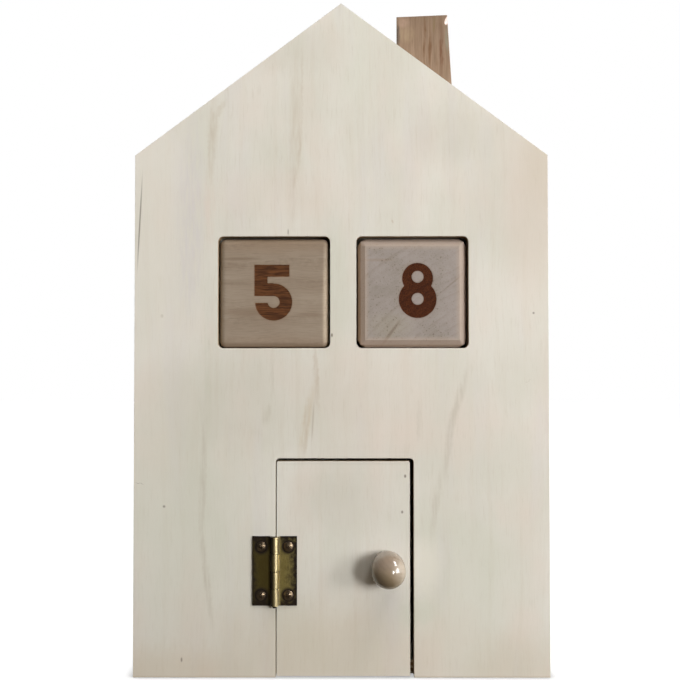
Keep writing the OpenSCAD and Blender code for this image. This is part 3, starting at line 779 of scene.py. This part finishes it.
left_cube.data.materials.append(cube_finish(
    "long_grain_cube", "number_cube_left", (0, 62, -96), (Y, Z, X), 5.2, 5.0,
    (rgb(160, 145, 128), rgb(151, 135, 118), rgb(116, 98, 80)),
    (rgb(112, 70, 40), rgb(60, 34, 18)), (0.42, 0.34, 0.2),
    # Painted light: the pale band at x 19.8 runs down the right edge, where light falls on the rounded
    # edge.
    [(0, 21, 40, 9, 0, 0.55, rgb(148, 124, 100)), (19.8, -7, 3.0, 34, 0, 0.95, rgb(200, 182, 159)),
     (-12, 12.5, 10, 0.9, 0, 0.4, rgb(112, 92, 72)), (-10, -7, 13, 2.4, 0, 0.4, rgb(120, 98, 78)),
     (13, -8, 8, 1.4, 0, 0.35, rgb(120, 98, 78)), (-14, 3.5, 8, 0.9, 0, 0.3, rgb(116, 98, 80)),
     (0, -19, 34, 5, 0, 0.3, rgb(150, 124, 102))]))
right_cube.data.materials.append(cube_finish(
    "end_grain_cube", "number_cube_right", (58, 0, -80), (X, Z, Y), 2.6, 1.6,
    (rgb(164, 154, 148), rgb(154, 145, 137), rgb(114, 97, 82)),
    (rgb(92, 46, 18), rgb(50, 21, 5)), (0.28, 0.16, 0.8),
    [(-8, -12, 12, 7, 0, 0.4, rgb(166, 158, 140)), (-8.5, -15.5, 1.0, 8, 0.7, 0.45, rgb(112, 90, 70)),
     (-13, 12, 9, 0.8, 0, 0.3, rgb(150, 128, 108)), (15, 4, 0.7, 6, 1.2, 0.3, rgb(112, 90, 70))],
    # Paler bevels: partly the wood's own tone, partly painted light.
    rim=(15.2, 0.65, rgb(188, 168, 152))))
print("cubes:", left_cube.data.materials[0].name, right_cube.data.materials[0].name)

# %% [markdown]
# The knob was turned on a lathe, so its whole shape is one profile carried round an axis. The
# profile is a chain of short straight pieces and arcs: a low foot on the door, a round
# shoulder, a straight side with a shallow line left by the tool, and half a ball at the end.

# %% Turned shapes
def arc(across, up, radius, start, end, steps=8):
    """Points of a circle's arc, with its angles in degrees."""
    angle = np.radians(np.linspace(start, end, steps))
    return np.stack([across + radius * np.cos(angle), up + radius * np.sin(angle)], -1)


def profile(*parts):
    """Joins points and arcs of (radius, height) into one chain."""
    return np.concatenate([np.atleast_2d(np.array(part, float)) for part in parts])


def turn(chain, base, columns=96, swell=None, sink=None):
    """Carries a chain round an axis that leaves base towards the front (-y): each point goes to
    radius times the cosine and sine of every angle. Swell is added to the radius and sink is
    taken from the height, each a function of place."""
    angle = np.linspace(0, 2 * np.pi, columns, endpoint=False)[None, :]
    radius, height = np.repeat(chain[:, :1], columns, 1), np.repeat(chain[:, 1:], columns, 1)
    if swell:
        radius = radius + swell(angle, radius, height)
    across, up = radius * np.cos(angle), radius * np.sin(angle)
    if sink:
        height = height - sink(across, up, height)
    points = np.stack([base[0] + across, base[1] - height, base[2] + up], -1)
    return points.reshape(-1, 3), grid_faces(*radius.shape, wrap=True)


# %% Knob
FOOT_R, FOOT_H, FOOT_EDGE = 4.6, 0.48, 0.2
SHOULDER, TOOL_LINE = 1.4, 0.07
knob_low, knob_high = corner("door_knob", 0), corner("door_knob", 1)
knob_r, knob_length = (knob_high - knob_low)[0] / 2, (knob_high - knob_low)[1]
knob_base = np.array([(knob_low + knob_high)[0] / 2, knob_high[1], (knob_low + knob_high)[2] / 2])
ball_h = knob_length - knob_r
foot = profile((0, 0), arc(FOOT_R - FOOT_EDGE, FOOT_EDGE, FOOT_EDGE, -90, 0, 4), (FOOT_R, FOOT_H),
               (FOOT_R - 0.1, FOOT_H + 0.12))
shoulder = arc(knob_r - SHOULDER, SHOULDER + 0.6, SHOULDER, -84, 0, 14)
tool_line = profile((knob_r, ball_h - 0.45), (knob_r - TOOL_LINE, ball_h - 0.25),
                    (knob_r - TOOL_LINE, ball_h - 0.1), (knob_r, ball_h + 0.05))
half_ball = arc(0, ball_h, knob_r, 2, 90, 30)
knob_chain = profile(foot, shoulder, tool_line, half_ball)
knob = make_piece("knob", *turn(knob_chain, knob_base), sharp=50)
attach(knob, "door")
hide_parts("door_knob")

# %% [markdown]
# The knob has a thick clear lacquer over pale greige wood. Two layers of gloss make that look:
# the wood itself stays dull, and the Coat of the Principled BSDF lays a smooth film on top,
# which mirrors the windows. The wood's colour is painted darker and more olive low down, which
# is painted shade, with a dark spot of painted shade at its lower left and a pale spot of
# painted light at its right.

# %% Finish of the knob
KNOB_PAINTED_LIGHT_SHADE = [((-3.4, -12.5, -4.6), 1.0, 6.5, 0.8, rgb(76, 62, 40)),
              ((6.0, -12.0, 0.5), 1.5, 6.5, 0.7, rgb(204, 191, 175))]


def knob_finish():
    """Lacquered wood, painted darker low down. Spots are painted shade and painted light: (middle,
    full within, gone from, strength, colour), in mm from the middle of the knob's foot."""
    finish, tree = new_finish("lacquered_knob")
    place = turned(tree, own_place(tree, knob_base + (9.0, 0.0, 14.0)), (X, Z, Y))
    wood = use_group(tree, solid_wood, Vector=place, RingGap=1.5, Waver=1.0)
    own = own_place(tree, knob_base)
    raised = add(tree, "SeparateXYZ", {0: own}).outputs[2]
    # Painted shade: the colour goes darker and more olive towards the bottom of the knob.
    colour = tinted(tree, rgb(144, 127, 94), raised, -4.0, 3.0, 1.0, rgb(156, 137, 119))
    colour = tinted(tree, colour, wood["Mottle"], 0.36, 0.64, 0.5, rgb(138, 119, 96))
    # A dark spot of painted shade at the lower left and a pale spot of painted light at the right.
    for spot, full, gone, strength, tint in KNOB_PAINTED_LIGHT_SHADE:
        away = vector_calc(tree, "DISTANCE", own, spot, out="Value")
        colour = mix_colours(tree, stretch(tree, away, full, gone, strength, 0.0), colour, tint)
    colour = mix_colours(tree, calc(tree, "MULTIPLY", wood["Ring"], 0.12), colour, rgb(110, 90, 68))
    colour = tinted(tree, colour, wood["Fibre"], 0.5, 0.75, 0.16, rgb(104, 84, 64))
    ripple = noise(tree, own, 0.35, 2.0)
    surface(tree, colour, stretch(tree, wood["Fibre"], 0.3, 0.7, 0.42, 0.5), ripple, 0.06,
            Coat_Weight=1.0, Coat_Roughness=0.1, Coat_IOR=1.55, Specular_IOR_Level=0.15)
    return finish


knob.data.materials.append(knob_finish())
print("knob radius", round(float(knob_r), 2), "length", round(float(knob_length), 2))

# %% [markdown]
# A screw is turned too, but two of its features depend on the angle as well: the cross recess
# sinks the head inside the outline of a cross, and the thread swells the shank along a helix.
# Both are functions of place that the turned shape takes on, so a screw is still one grid.

# %% Screws
def cross_recess(length, width, depth, slope, on_head):
    """Sinks the heights that are on the head, inside a cross of two bars: by the full depth
    where the signed distance is below minus 0.85 slopes, and less towards the outline."""
    def sink(across, up, height):
        arms = join(bar(across, up, -length, length, -width, width),
                    bar(across, up, -width, width, -length, length))
        return depth * np.clip(0.15 - arms / slope, 0, 1) * on_head(height)
    return sink


def thread(pitch, depth, start, end):
    """A ridge along a helix between two heights: it rises and falls once per pitch."""
    def swell(angle, radius, height):
        share = (height / pitch - angle / (2 * np.pi)) % 1
        ridge = np.abs(2 * share - 1) ** 2 - 1
        return depth * ridge * ((height > start) & (height < end))
    return swell


def turned_copies(name, chain, bases, **forms):
    """The same turned shape at several places, as one piece."""
    made = [turn(chain, base, **forms) for base in bases]
    starts = np.cumsum([0] + [len(points) for points, _ in made[:-1]])
    points = np.concatenate([points for points, _ in made])
    faces = np.concatenate([own + start for (_, own), start in zip(made, starts)])
    return make_piece(name, points, faces, sharp=45)


def dome(radius, rim, top):
    """Half profile of a domed head: the arc through the rim's edge and the top. Its ball's radius
    is (radius squared + rise squared) / (2 rise)."""
    rise = top - rim
    ball = (radius ** 2 + rise ** 2) / (2 * rise)
    half = math.degrees(math.asin(radius / ball))
    return arc(0, top - ball, ball, 90 - half, 90, 22)


def straight(radius, start, end, step):
    """Points of a shank with close rows, so that a thread can swell it."""
    rows = np.arange(start, end, step)
    return np.stack([np.full(len(rows), radius), rows], -1)


# %% Screws of the hinge
HEAD_H, HEAD_RIM, SHANK_R, POINT = 1.0, 0.25, 0.8, 1.2


def hinge_screws(node, body):
    """Two dome head screws: point in the wood, head on the leaf. Height 0 is the head's top."""
    first, last = corner(node, 0), corner(node, 1)
    head_r = (last - first)[0] / 2
    seat, tip = -HEAD_H, -(last - first)[1]
    chain = profile((0, tip), (0.25, tip + 0.35), straight(SHANK_R, tip + POINT, seat, 0.1),
                    (SHANK_R, seat), (head_r - 0.08, seat), (head_r, seat + 0.08),
                    dome(head_r, seat + HEAD_RIM, 0.0))
    bases = [np.array([(first + last)[0] / 2, first[1], z]) for z in (first[2] + head_r, last[2] - head_r)]
    piece = turned_copies(node + "_threaded", chain, bases, columns=64,
                          swell=thread(0.7, 0.16, tip + 1.0, seat - 0.5),
                          sink=cross_recess(1.0, 0.225, 0.5, 0.14, lambda height: height > seat + HEAD_RIM))
    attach(piece, body)
    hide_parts(node)
    return piece


frame_screws = hinge_screws("hinge_screws_frame", "house")
door_screws = hinge_screws("hinge_screws_door", "door")

# %% [markdown]
# The knob is held by one countersunk screw from the back of the door, which shows only when the
# door is open. It is the same turned shape the other way round: a flat head with a cross in it.

# %% Screw of the knob
def knob_screw():
    """A countersunk screw whose head lies in the back of the door. Height 0 is the head's face,
    and heights grow into the wood, so its recess goes the other way."""
    first, last = corner("knob_screw", 0), corner("knob_screw", 1)
    head_r, shank, length = (last - first)[0] / 2, 1.25, (last - first)[1]
    cone = head_r - shank
    face = np.stack([np.linspace(0, head_r - 0.06, 24), np.full(24, 0.0)], -1)
    chain = profile(face, (head_r, 0.06), (shank, cone),
                    straight(shank, cone + 0.3, 0.75 * length, 0.12), (0.3, length - 0.4), (0, length))
    recess = cross_recess(1.4, 0.3, -0.7, 0.2, lambda height: height < 0.01)
    ridge = thread(1.1, 0.28, 3.0, 0.74 * length)
    base = np.array([(first + last)[0] / 2, last[1], (first + last)[2] / 2])
    piece = make_piece("knob_screw_threaded", *turn(chain, base, 64, ridge, recess), sharp=45)
    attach(piece, "door")
    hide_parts("knob_screw")
    return piece


back_screw = knob_screw()

# %% [markdown]
# The chimney is a block of darker wood whose right side leans in towards the top, and whose
# left side closes in a little towards the back. It is one closed box grid with its edges just
# broken, squeezed into the four corners that the block has from the front. A splinter has come
# off its right front edge near the top: points inside a small turned egg are pushed out to its
# skin, which leaves the hollow of a real chip.

# %% A box as a grid
def box_grid(steps):
    """Points on the skin of a cube from -1 to 1, on the given lines, with their faces."""
    across, up = np.meshgrid(steps, steps)
    local = np.stack([across, up, np.ones_like(across)], -1)
    points = [(local @ np.stack(axes)).reshape(-1, 3) for axes in FACES.values()]
    faces = [grid_faces(*across.shape) + number * across.size for number in range(len(FACES))]
    return np.concatenate(points), np.concatenate(faces)


def broken_edges(points, half, radius):
    """Sizes the cube to half lengths in mm: each coordinate near 1 goes round a small arc."""
    size = np.array(half)
    wide = np.sign(points) * np.minimum(np.abs(points), 1) * size
    inner = np.clip(wide, radius - size, size - radius)
    away = wide - inner
    length = np.linalg.norm(away, axis=-1, keepdims=True)
    return inner + away * (radius / np.maximum(length, 1e-9)) * (length > 1e-9)


# %% Chimney
TOP_LEFT, TOP_RIGHT = (21.75, 243.7), (40.05, 244.5)
LEAN = math.tan(math.radians(3.5))
LEFT_FRONT, LEFT_BACK = -0.9, 0.5
ROUGH_HALF = 9.5, 12.5
CHIP = np.array([40.4, corner("chimney", 0)[1] - 0.5, 242.7])
CHIP_REACH = np.array([1.1, 1.5, 2.3])
CHIP_COS, CHIP_SIN = math.cos(math.radians(28)), math.sin(math.radians(28))
CHIP_AXES = np.array([[CHIP_COS, 0, -CHIP_SIN], [0, 1, 0], [CHIP_SIN, 0, CHIP_COS]])


def chipped(points):
    """Pushes the points inside the egg to its skin, straight away from its middle."""
    away = (points - CHIP) @ CHIP_AXES.T / CHIP_REACH
    depth = np.linalg.norm(away, axis=-1, keepdims=True)
    skin = CHIP + away / np.maximum(depth, 1e-6) * CHIP_REACH @ CHIP_AXES
    return np.where(depth < 1, skin, points)


def chimney():
    """A box grid squeezed between the block's four front corners: x and z go in proportion from
    the foot's line on the roof to the top's line, and the left side shifts with the depth."""
    middle_y = (corner("chimney", 0) + corner("chimney", 1))[1] / 2
    half = np.array([ROUGH_HALF[0], corner("chimney", 1)[1] - middle_y, ROUGH_HALF[1]])
    (left, left_top), (right, right_top) = TOP_LEFT, TOP_RIGHT
    slope = math.tan(pitch)
    foot_right = (right - (ridge - right_top) * LEAN) / (1 - slope * LEAN)
    fine = np.concatenate([np.linspace(0, 0.96, 33), [0.972, 0.98, 0.986, 0.992, 0.996, 1.0]])
    skin, faces = box_grid(np.concatenate([-fine[:0:-1], fine]))
    block = broken_edges(skin, half, 0.3)
    to_right, to_back, to_top = (block / half / 2 + 0.5).T
    top_x, foot_x = left + (right - left) * to_right, left + (foot_right - left) * to_right
    top_z = left_top + (right_top - left_top) * to_right
    foot_z = ridge - foot_x * slope
    shift = (1 - to_right) * (LEFT_FRONT + (LEFT_BACK - LEFT_FRONT) * to_back)
    points = np.stack([foot_x + (top_x - foot_x) * to_top + shift, block[:, 1] + middle_y,
                       foot_z + (top_z - foot_z) * to_top], -1)
    return make_piece("chimney_block", chipped(points), faces, sharp=35)


chimney_block = chimney()
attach(chimney_block, "house")
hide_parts("chimney")

# %% [markdown]
# The chimney's wood is browner than the cubes and its grain stands upright, in lines about two
# millimetres apart. The darkest lines are marks of their own, broken up along the grain, except
# the dark band down the left edge, which is painted shade, and a greyer band down the right
# edge, which is painted shading of a rounded edge. Where the splinter came off, the fresh wood
# below is much paler.

# %% Finish of the chimney and the dowel
FRESH_WOOD = rgb(236, 214, 206)


def plain_wood(name, heart, axes, ring_gap, waver, tones, streaks, marks=(), chip=None):
    """Solid wood without figures. Tones and streaks are as on a cube, with pores for pits, marks
    are as on a board, and a chip is its egg's middle, axes and reach."""
    finish, tree = new_finish(name)
    place = turned(tree, own_place(tree, heart), axes)
    wood = use_group(tree, solid_wood, Vector=place, RingGap=ring_gap, Waver=waver)
    pale, deep, dark = tones
    colour = tinted(tree, pale, wood["Mottle"], 0.36, 0.64, 1.0, deep)
    colour = mix_colours(tree, calc(tree, "MULTIPLY", wood["Ring"], streaks[0]), colour, dark)
    colour = tinted(tree, colour, wood["Fibre"], 0.46, 0.74, streaks[1], dark)
    colour = mix_colours(tree, calc(tree, "MULTIPLY", wood["Pore"], streaks[2]), colour, dark)
    own = own_place(tree, (0, 0, 0))
    wavy = noise(tree, axis_scale(tree, own, 0.3, 0.3, 0.16), 1.0, 2.0, out="Color")
    wavy = axis_scale(tree, vector_calc(tree, "SUBTRACT", wavy, (0.5, 0.5, 0.5)), 1.6, 0.0, 0.0)
    wavy = vector_calc(tree, "ADD", own, wavy)
    broken = noise(tree, axis_scale(tree, own, 0.8, 0.8, 0.22), 1.0, 2.0)
    broken = stretch(tree, broken, 0.36, 0.6, 0.35, 1.0)
    for mark in marks:
        colour = marked(tree, colour, wavy, mark, broken)
    if chip:
        middle, chip_axes, reach = chip
        away = vector_calc(tree, "DIVIDE", turned(tree, own_place(tree, middle), chip_axes), tuple(reach))
        away = vector_calc(tree, "LENGTH", away, out="Value")
        colour = mix_colours(tree, stretch(tree, away, 0.99, 1.04, 1.0, 0.0), colour, FRESH_WOOD)
    height = calc(tree, "SUBTRACT", wood["Fibre"], calc(tree, "MULTIPLY", wood["Pore"], 0.6))
    surface(tree, colour, stretch(tree, wood["Fibre"], 0.3, 0.7, 0.58, 0.7), height, 0.05,
            Specular_IOR_Level=0.35)
    return finish


chimney_block.data.materials.append(plain_wood(
    "chimney_wood", (84, 26, 0), (X, Y, Z), 1.9, 1.2,
    (rgb(151, 126, 103), rgb(139, 114, 91), rgb(100, 75, 52)), (0.3, 0.5, 0.4),
    # Painted shade: the first mark, a dark band down the left edge, which faces away from the light.
    [(21.0, 237.2, 1.6, 6, 0, 2.2, rgb(96, 80, 68)), (31.3, 234, 0.7, 15, 0, 1.0, rgb(118, 86, 58)),
     (33.4, 232, 0.8, 14, 0, 1.0, rgb(120, 88, 60)), (35.2, 241, 0.7, 5, 0, 0.9, rgb(128, 106, 72)),
     (37.8, 232, 0.8, 18, -0.02, 1.2, rgb(118, 82, 56)),
     # Painted shading: this greyer band down the right edge stands for light on a rounded edge.
     (39.9, 236, 1.1, 8, -0.06, 1.0, rgb(142, 132, 112)),
     (23.6, 241.5, 3.4, 2.6, 0, 0.7, rgb(176, 146, 126)), (25, 237, 4, 4, 0, 0.5, rgb(172, 150, 118)),
     (36.2, 224, 0.7, 6, 0, 0.6, rgb(120, 92, 66))],
    chip=(CHIP, CHIP_AXES, CHIP_REACH)))
down_slope = (math.cos(pitch), 0, -math.sin(pitch))
out_of_roof = (math.sin(pitch), 0, math.cos(pitch))
dress("chimney_dowel", plain_wood(
    "dowel_beech", (33, 0, 0), (down_slope, Y, out_of_roof), 1.1, 0.5,
    (rgb(214, 186, 148), rgb(202, 172, 132), rgb(160, 122, 82)), (0.4, 0.3, 0.5)), edge=0)

# %% [markdown]
# The hinge is antique brass: sheet that was darkened with acid and then rubbed, so its middle
# shows olive metal while the rims and the places round the screws stay nearly black. Each leaf
# gets darker outwards over a distance of its own. The door leaf's brass is paler than the frame
# leaf's, which is partly patina and partly painted light. The knuckles of the barrel are painted
# bright on their right side and dark on their left, which is painted highlight and painted shade.
# The CAD leaves already have the rolled knuckles, so they only get broken edges.

# %% Where brass is dark
def rim_share(tree, place, own, up_to, out_to, fade):
    """0 in the middle of a box and 1 at its rim, uneven as a cloud. The rim is where the larger
    of |x| / out_to and |z| / up_to nears 1, and a fade replaces the first."""
    if fade:
        side, first, last = fade
        outwards = stretch(tree, calc(tree, "MULTIPLY", own[0], side), first, last)
    else:
        outwards = calc(tree, "DIVIDE", calc(tree, "ABSOLUTE", own[0]), out_to)
    upright = calc(tree, "DIVIDE", calc(tree, "ABSOLUTE", own[2]), up_to)
    cloud = stretch(tree, noise(tree, place, 0.55, 4.0, 0.6), 0.2, 0.8, -0.25, 0.25)
    edge = calc(tree, "ADD", calc(tree, "MAXIMUM", outwards, upright), cloud)
    return stretch(tree, edge, 0.35, 1.0, ease="SMOOTHSTEP")


def screw_share(tree, own, across, up):
    """1 on the heads of two screws, at one x and at equal heights above and below the middle,
    and 0 from 3.8 mm away from them."""
    from_x = calc(tree, "SUBTRACT", own[0], across)
    from_z = calc(tree, "SUBTRACT", calc(tree, "ABSOLUTE", own[2]), up)
    away = vector_calc(tree, "LENGTH", add(tree, "CombineXYZ", {0: from_x, 1: from_z}).outputs[0],
                       out="Value")
    return stretch(tree, away, 2.0, 3.8, 1.0, 0.0, ease="SMOOTHSTEP")


def barrel_light_and_shade(tree, place, own, across):
    """Painted highlight on the right side and painted shade on the left side of the knuckles round an
    upright axis.
    """
    near = vector_calc(tree, "DISTANCE", axis_scale(tree, place, 1, 1, 0), (across, 0, 0), out="Value")
    knuckle = stretch(tree, near, 1.6, 2.6, 1.0, 0.0)
    right_side = calc(tree, "SUBTRACT", own[0], across)
    # Painted highlight right of the axis, painted shade left of it.
    painted_glint = calc(tree, "MULTIPLY", knuckle, stretch(tree, right_side, -0.7, -0.1, 0.0, 1.0))
    dark = calc(tree, "MULTIPLY", knuckle, stretch(tree, right_side, -0.7, -0.2, 0.92, 0.0))
    return painted_glint, dark


# %% Antique brass
BRUSHED, GLINT_BRASS = rgb(92, 74, 42), rgb(178, 164, 126)
BLACKENED, PITTED = rgb(36, 25, 17), rgb(26, 18, 12)


def brass_finish(name, middle, metal, up_to, out_to=None, fade=None, screws=None, barrel=None):
    """Brass that is dark at the rim of a box round its middle. The box reaches up_to above and
    below, and out_to at both sides, or it fades at one side: (1 or -1, first dark, full dark).
    Screws are (x, height) of the screws of a leaf, and barrel is the x of its knuckles."""
    finish, tree = new_finish(name)
    place = own_place(tree, middle)
    own = add(tree, "SeparateXYZ", {0: place}).outputs
    dark = rim_share(tree, place, own, up_to, out_to, fade)
    if screws:
        dark = calc(tree, "MAXIMUM", dark, screw_share(tree, own, *screws))
    brushed = noise(tree, axis_scale(tree, place, 6.0, 6.0, 0.35), 1.0, 3.0, 0.6)
    pits = noise(tree, place, 3.0, 3.0, 0.6)
    colour = tinted(tree, metal, brushed, 0.35, 0.7, 0.6, BRUSHED)
    # Painted highlight and painted shade on the knuckles: pale on their right side, dark on their left.
    if barrel:
        painted_glint, painted_left_shade = barrel_light_and_shade(tree, place, own, barrel)
        dark = calc(tree, "MULTIPLY", dark, calc(tree, "SUBTRACT", 1.0, painted_glint))
        dark = calc(tree, "MAXIMUM", dark, painted_left_shade)
        colour = mix_colours(tree, painted_glint, colour, GLINT_BRASS)
    colour = mix_colours(tree, dark, colour, BLACKENED)
    colour = tinted(tree, colour, pits, 0.58, 0.72, 0.6, PITTED)
    roughness = add(tree, "Mix", {0: dark, 2: 0.34, 3: 0.48}).outputs[0]
    metallic = add(tree, "Mix", {0: dark, 2: 1.0, 3: 0.7}).outputs[0]
    height = calc(tree, "ADD", pits, calc(tree, "MULTIPLY", brushed, 0.4))
    surface(tree, colour, roughness, height, 0.02, Metallic=metallic)
    return finish


# %% Brass of the hinge
HEAD_REACH, FROM_END = 1.8, 3.7
pin_middle = (corner("hinge_pin", 0) + corner("hinge_pin", 1)) / 2
leaf_low, leaf_high = corner("hinge_leaf_frame", 0)[2], corner("hinge_leaf_frame", 1)[2]
hinge_middle = np.array([pin_middle[0], pin_middle[1], (leaf_low + leaf_high) / 2])
hinge_half = (leaf_high - leaf_low) / 2
leaf_middle = (corner("hinge_leaf_door", 1)[0] - pin_middle[0]) / 2
screw_out = corner("hinge_screws_door", 1)[0] - pin_middle[0] - HEAD_REACH

# The door leaf's metal is much paler than the frame leaf's: partly patina, partly painted light on the same
# brass.
for node, side, metal, fade in (("hinge_leaf_frame", -1, rgb(110, 100, 55), (-1, -0.2, 4.4)),
                                ("hinge_leaf_door", 1, rgb(184, 169, 104), (1, -3.5, 3.7))):
    finish = brass_finish(node + "_brass", hinge_middle + (side * leaf_middle, 0, 0), metal, hinge_half,
                          fade=fade, barrel=-side * leaf_middle,
                          screws=(side * (screw_out - leaf_middle), hinge_half - FROM_END))
    dress(node, finish, edge=0.06)
dress("hinge_pin", brass_finish("pin_brass", pin_middle, rgb(120, 104, 62), hinge_half + 1, 1.4), edge=0.12)
for piece, side in ((frame_screws, -1), (door_screws, 1)):
    piece.data.materials.append(brass_finish(
        piece.name + "_brass", hinge_middle + (side * screw_out, 0, 0), rgb(116, 102, 86),
        2 * hinge_half, 2.2))
print("hinge half height", round(float(hinge_half), 2), "leaf", round(float(2 * leaf_middle), 2))

# %% [markdown]
# The screw behind the knob is bright zinc: a fine crystalline film over steel, a little blue.

# %% Zinc plated steel
def zinc_finish():
    """Polished metal whose colour and roughness both follow one fine noise."""
    finish, tree = new_finish("zinc_plated")
    crystal = noise(tree, own_place(tree, (0, 0, 0)), 2.5, 3.0, 0.6)
    colour = tinted(tree, rgb(176, 178, 182), crystal, 0.35, 0.65, 1.0, rgb(142, 144, 150))
    surface(tree, colour, stretch(tree, crystal, 0.3, 0.7, 0.28, 0.42), crystal, 0.01, Metallic=1.0)
    return finish


back_screw.data.materials.append(zinc_finish())
print("zinc on", back_screw.name)

# %% [markdown]
# Most of the light comes from a tall window on the right: it throws the knob's shadow to the
# left and draws a tall streak on the lacquer. Four other lamps stand for the rest of a room: a
# second window, a white wall that only grazes the front, and two overhead that don't show in
# gloss. Two cards far to the right are the other way round: they show only in gloss, as the
# drop and the hook of light on the knob.

# %% Lamps and cards
MIDDLE = np.array([0.0, -0.023, 0.10])
WARM, WARMER = (1.0, 0.985, 0.94), (1.0, 0.98, 0.92)


def aside(turn, rise, distance):
    """A place seen from the middle of the wall: turned to the right of straight ahead, raised."""
    turn, rise = math.radians(turn), math.radians(rise)
    return MIDDLE + distance * np.array([math.sin(turn) * math.cos(rise),
                                         -math.cos(turn) * math.cos(rise), math.sin(rise)])


def soft_light(name, place, size, power, colour=(1.0, 1.0, 1.0), mirrored=True, lights=True):
    """A rectangle of light at a place in metres, turned to the middle of the wall. It can be left
    out of the gloss, or be there for the gloss alone."""
    data = bpy.data.lights.new(name, "AREA")
    data.shape, data.size, data.size_y = "RECTANGLE", *size
    data.energy, data.color = power, colour
    light = bpy.data.objects.new(name, data)
    light.location = place
    light.rotation_euler = (Vector(MIDDLE) - Vector(place)).to_track_quat("-Z", "Y").to_euler()
    light.visible_glossy, light.visible_diffuse = mirrored, lights
    bpy.context.scene.collection.objects.link(light)
    return light


soft_light("tall_window", aside(31, 2, 1.3), (0.18, 0.50), 10.6)
soft_light("ceiling", (0.08, -0.40, 0.62), (0.6, 0.4), 1.3, WARMER, mirrored=False)
soft_light("side_window", aside(50, 5, 1.5), (0.32, 0.42), 4.8)
soft_light("roof_window", aside(44, 58, 1.5), (0.30, 0.36), 3.3, mirrored=False)
soft_light("drop_card", aside(62, 4, 1.5), (0.56, 0.95), 22.0, lights=False)
hook_card = soft_light("hook_card", aside(74, 50, 1.5), (0.28, 0.75), 12.0, lights=False)
hook_card.rotation_euler.rotate_axis("Z", math.radians(-40))
soft_light("white_wall", aside(86, 4, 1.6), (2.0, 2.0), 23.0, WARM)

# %% [markdown]
# The ground is white through its own glow where it's seen, so it puts hardly any light on the
# house. Close to the house the glow is dimmed by what stands over it, which leaves the thin
# line of shadow at the foot of the walls. Round it is a white room that is dim ahead of the
# house, where the picture was taken from, and bright behind it.

# %% Ground and room
GROUND_HALF, GROUND_Z, CONTACT = 3000.0, -0.02, 4.0
LIT_GREY, TABLE_TOP = (0.36, 0.36, 0.36, 1), (0.13, 0.10, 0.07, 1)
PURE_WHITE = (1, 1, 1, 1)


def seen_by_eye(tree, mirrored):
    """1 for rays from the camera or through glass, the mirrored share for those that a gloss
    sends out, and 0 for the light that falls on the object."""
    path = add(tree, "LightPath").outputs
    clear = calc(tree, "MAXIMUM", path["Is Camera Ray"], path["Is Transmission Ray"])
    return calc(tree, "MAXIMUM", clear, calc(tree, "MULTIPLY", path["Is Glossy Ray"], mirrored))


def white_ground(share, glow):
    """A wide floor. Where it's seen, a share of its grey is lit and shaded and a glow is added,
    which falls to half right at the house. The light that it throws on the house is weak and
    warm, as from a table top."""
    finish, tree = new_finish("white_ground")
    lit = add(tree, "BsdfDiffuse", {"Color": LIT_GREY})
    table = add(tree, "BsdfDiffuse", {"Color": TABLE_TOP})
    open_sky = add(tree, "AmbientOcclusion", {"Distance": CONTACT * MM}).outputs["AO"]
    strength = stretch(tree, open_sky, 0.5, 1.0, 0.5 * glow, glow)
    glowing = add(tree, "Emission", {"Color": PURE_WHITE, "Strength": strength})
    part_lit = add(tree, "MixShader", {0: share, 2: lit.outputs[0]})
    both = add(tree, "AddShader", {0: part_lit.outputs[0], 1: glowing.outputs[0]})
    mix = add(tree, "MixShader", {0: seen_by_eye(tree, 0.1), 1: table.outputs[0], 2: both.outputs[0]})
    add(tree, "OutputMaterial", {"Surface": mix.outputs[0]})
    ends = (-GROUND_HALF, GROUND_HALF)
    points = np.array([(x, y, GROUND_Z) for x in ends for y in ends])[[0, 2, 3, 1]]
    floor = make_piece("ground", points, np.array([[0, 1, 2, 3]]), closed=False)
    floor.data.materials.append(finish)
    floor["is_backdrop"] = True


def white_room(ahead, behind, mirrored_ahead):
    """White to the camera. To mirrors it's white behind the object and dim ahead of it, where a
    room would be. As light on the object it goes from weak ahead to nearly white behind."""
    world = bpy.data.worlds.new("white_room")
    bpy.context.scene.world = world
    world.use_nodes = True
    tree = world.node_tree
    tree.nodes.clear()
    backwards = add(tree, "SeparateXYZ", {0: add(tree, "TexCoord").outputs["Generated"]}).outputs[1]
    mirrored = stretch(tree, backwards, -0.1, 0.7, mirrored_ahead, 1.0, ease="SMOOTHSTEP")
    falling = stretch(tree, backwards, 0.0, 0.4, ahead, behind, ease="SMOOTHSTEP")
    strength = stretch(tree, seen_by_eye(tree, mirrored), 0.0, 1.0, falling, 1.0)
    light = add(tree, "Background", {"Color": PURE_WHITE, "Strength": strength})
    add(tree, "OutputWorld", {"Surface": light.outputs[0]})


white_ground(share=0.6, glow=0.93)
white_room(ahead=0.035, behind=0.9, mirrored_ahead=0.08)
bpy.context.scene.view_settings.view_transform = "Standard"
print("world:", bpy.context.scene.world.name, "on a floor at", GROUND_Z, "mm")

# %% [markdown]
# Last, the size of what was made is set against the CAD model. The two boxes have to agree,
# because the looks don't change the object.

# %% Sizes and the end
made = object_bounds()
pairs = zip([*made[0], *made[1]], [*cad_box[0], *cad_box[1]])
print("grown by (mm):", [round((m - c) / MM, 3) for m, c in pairs])
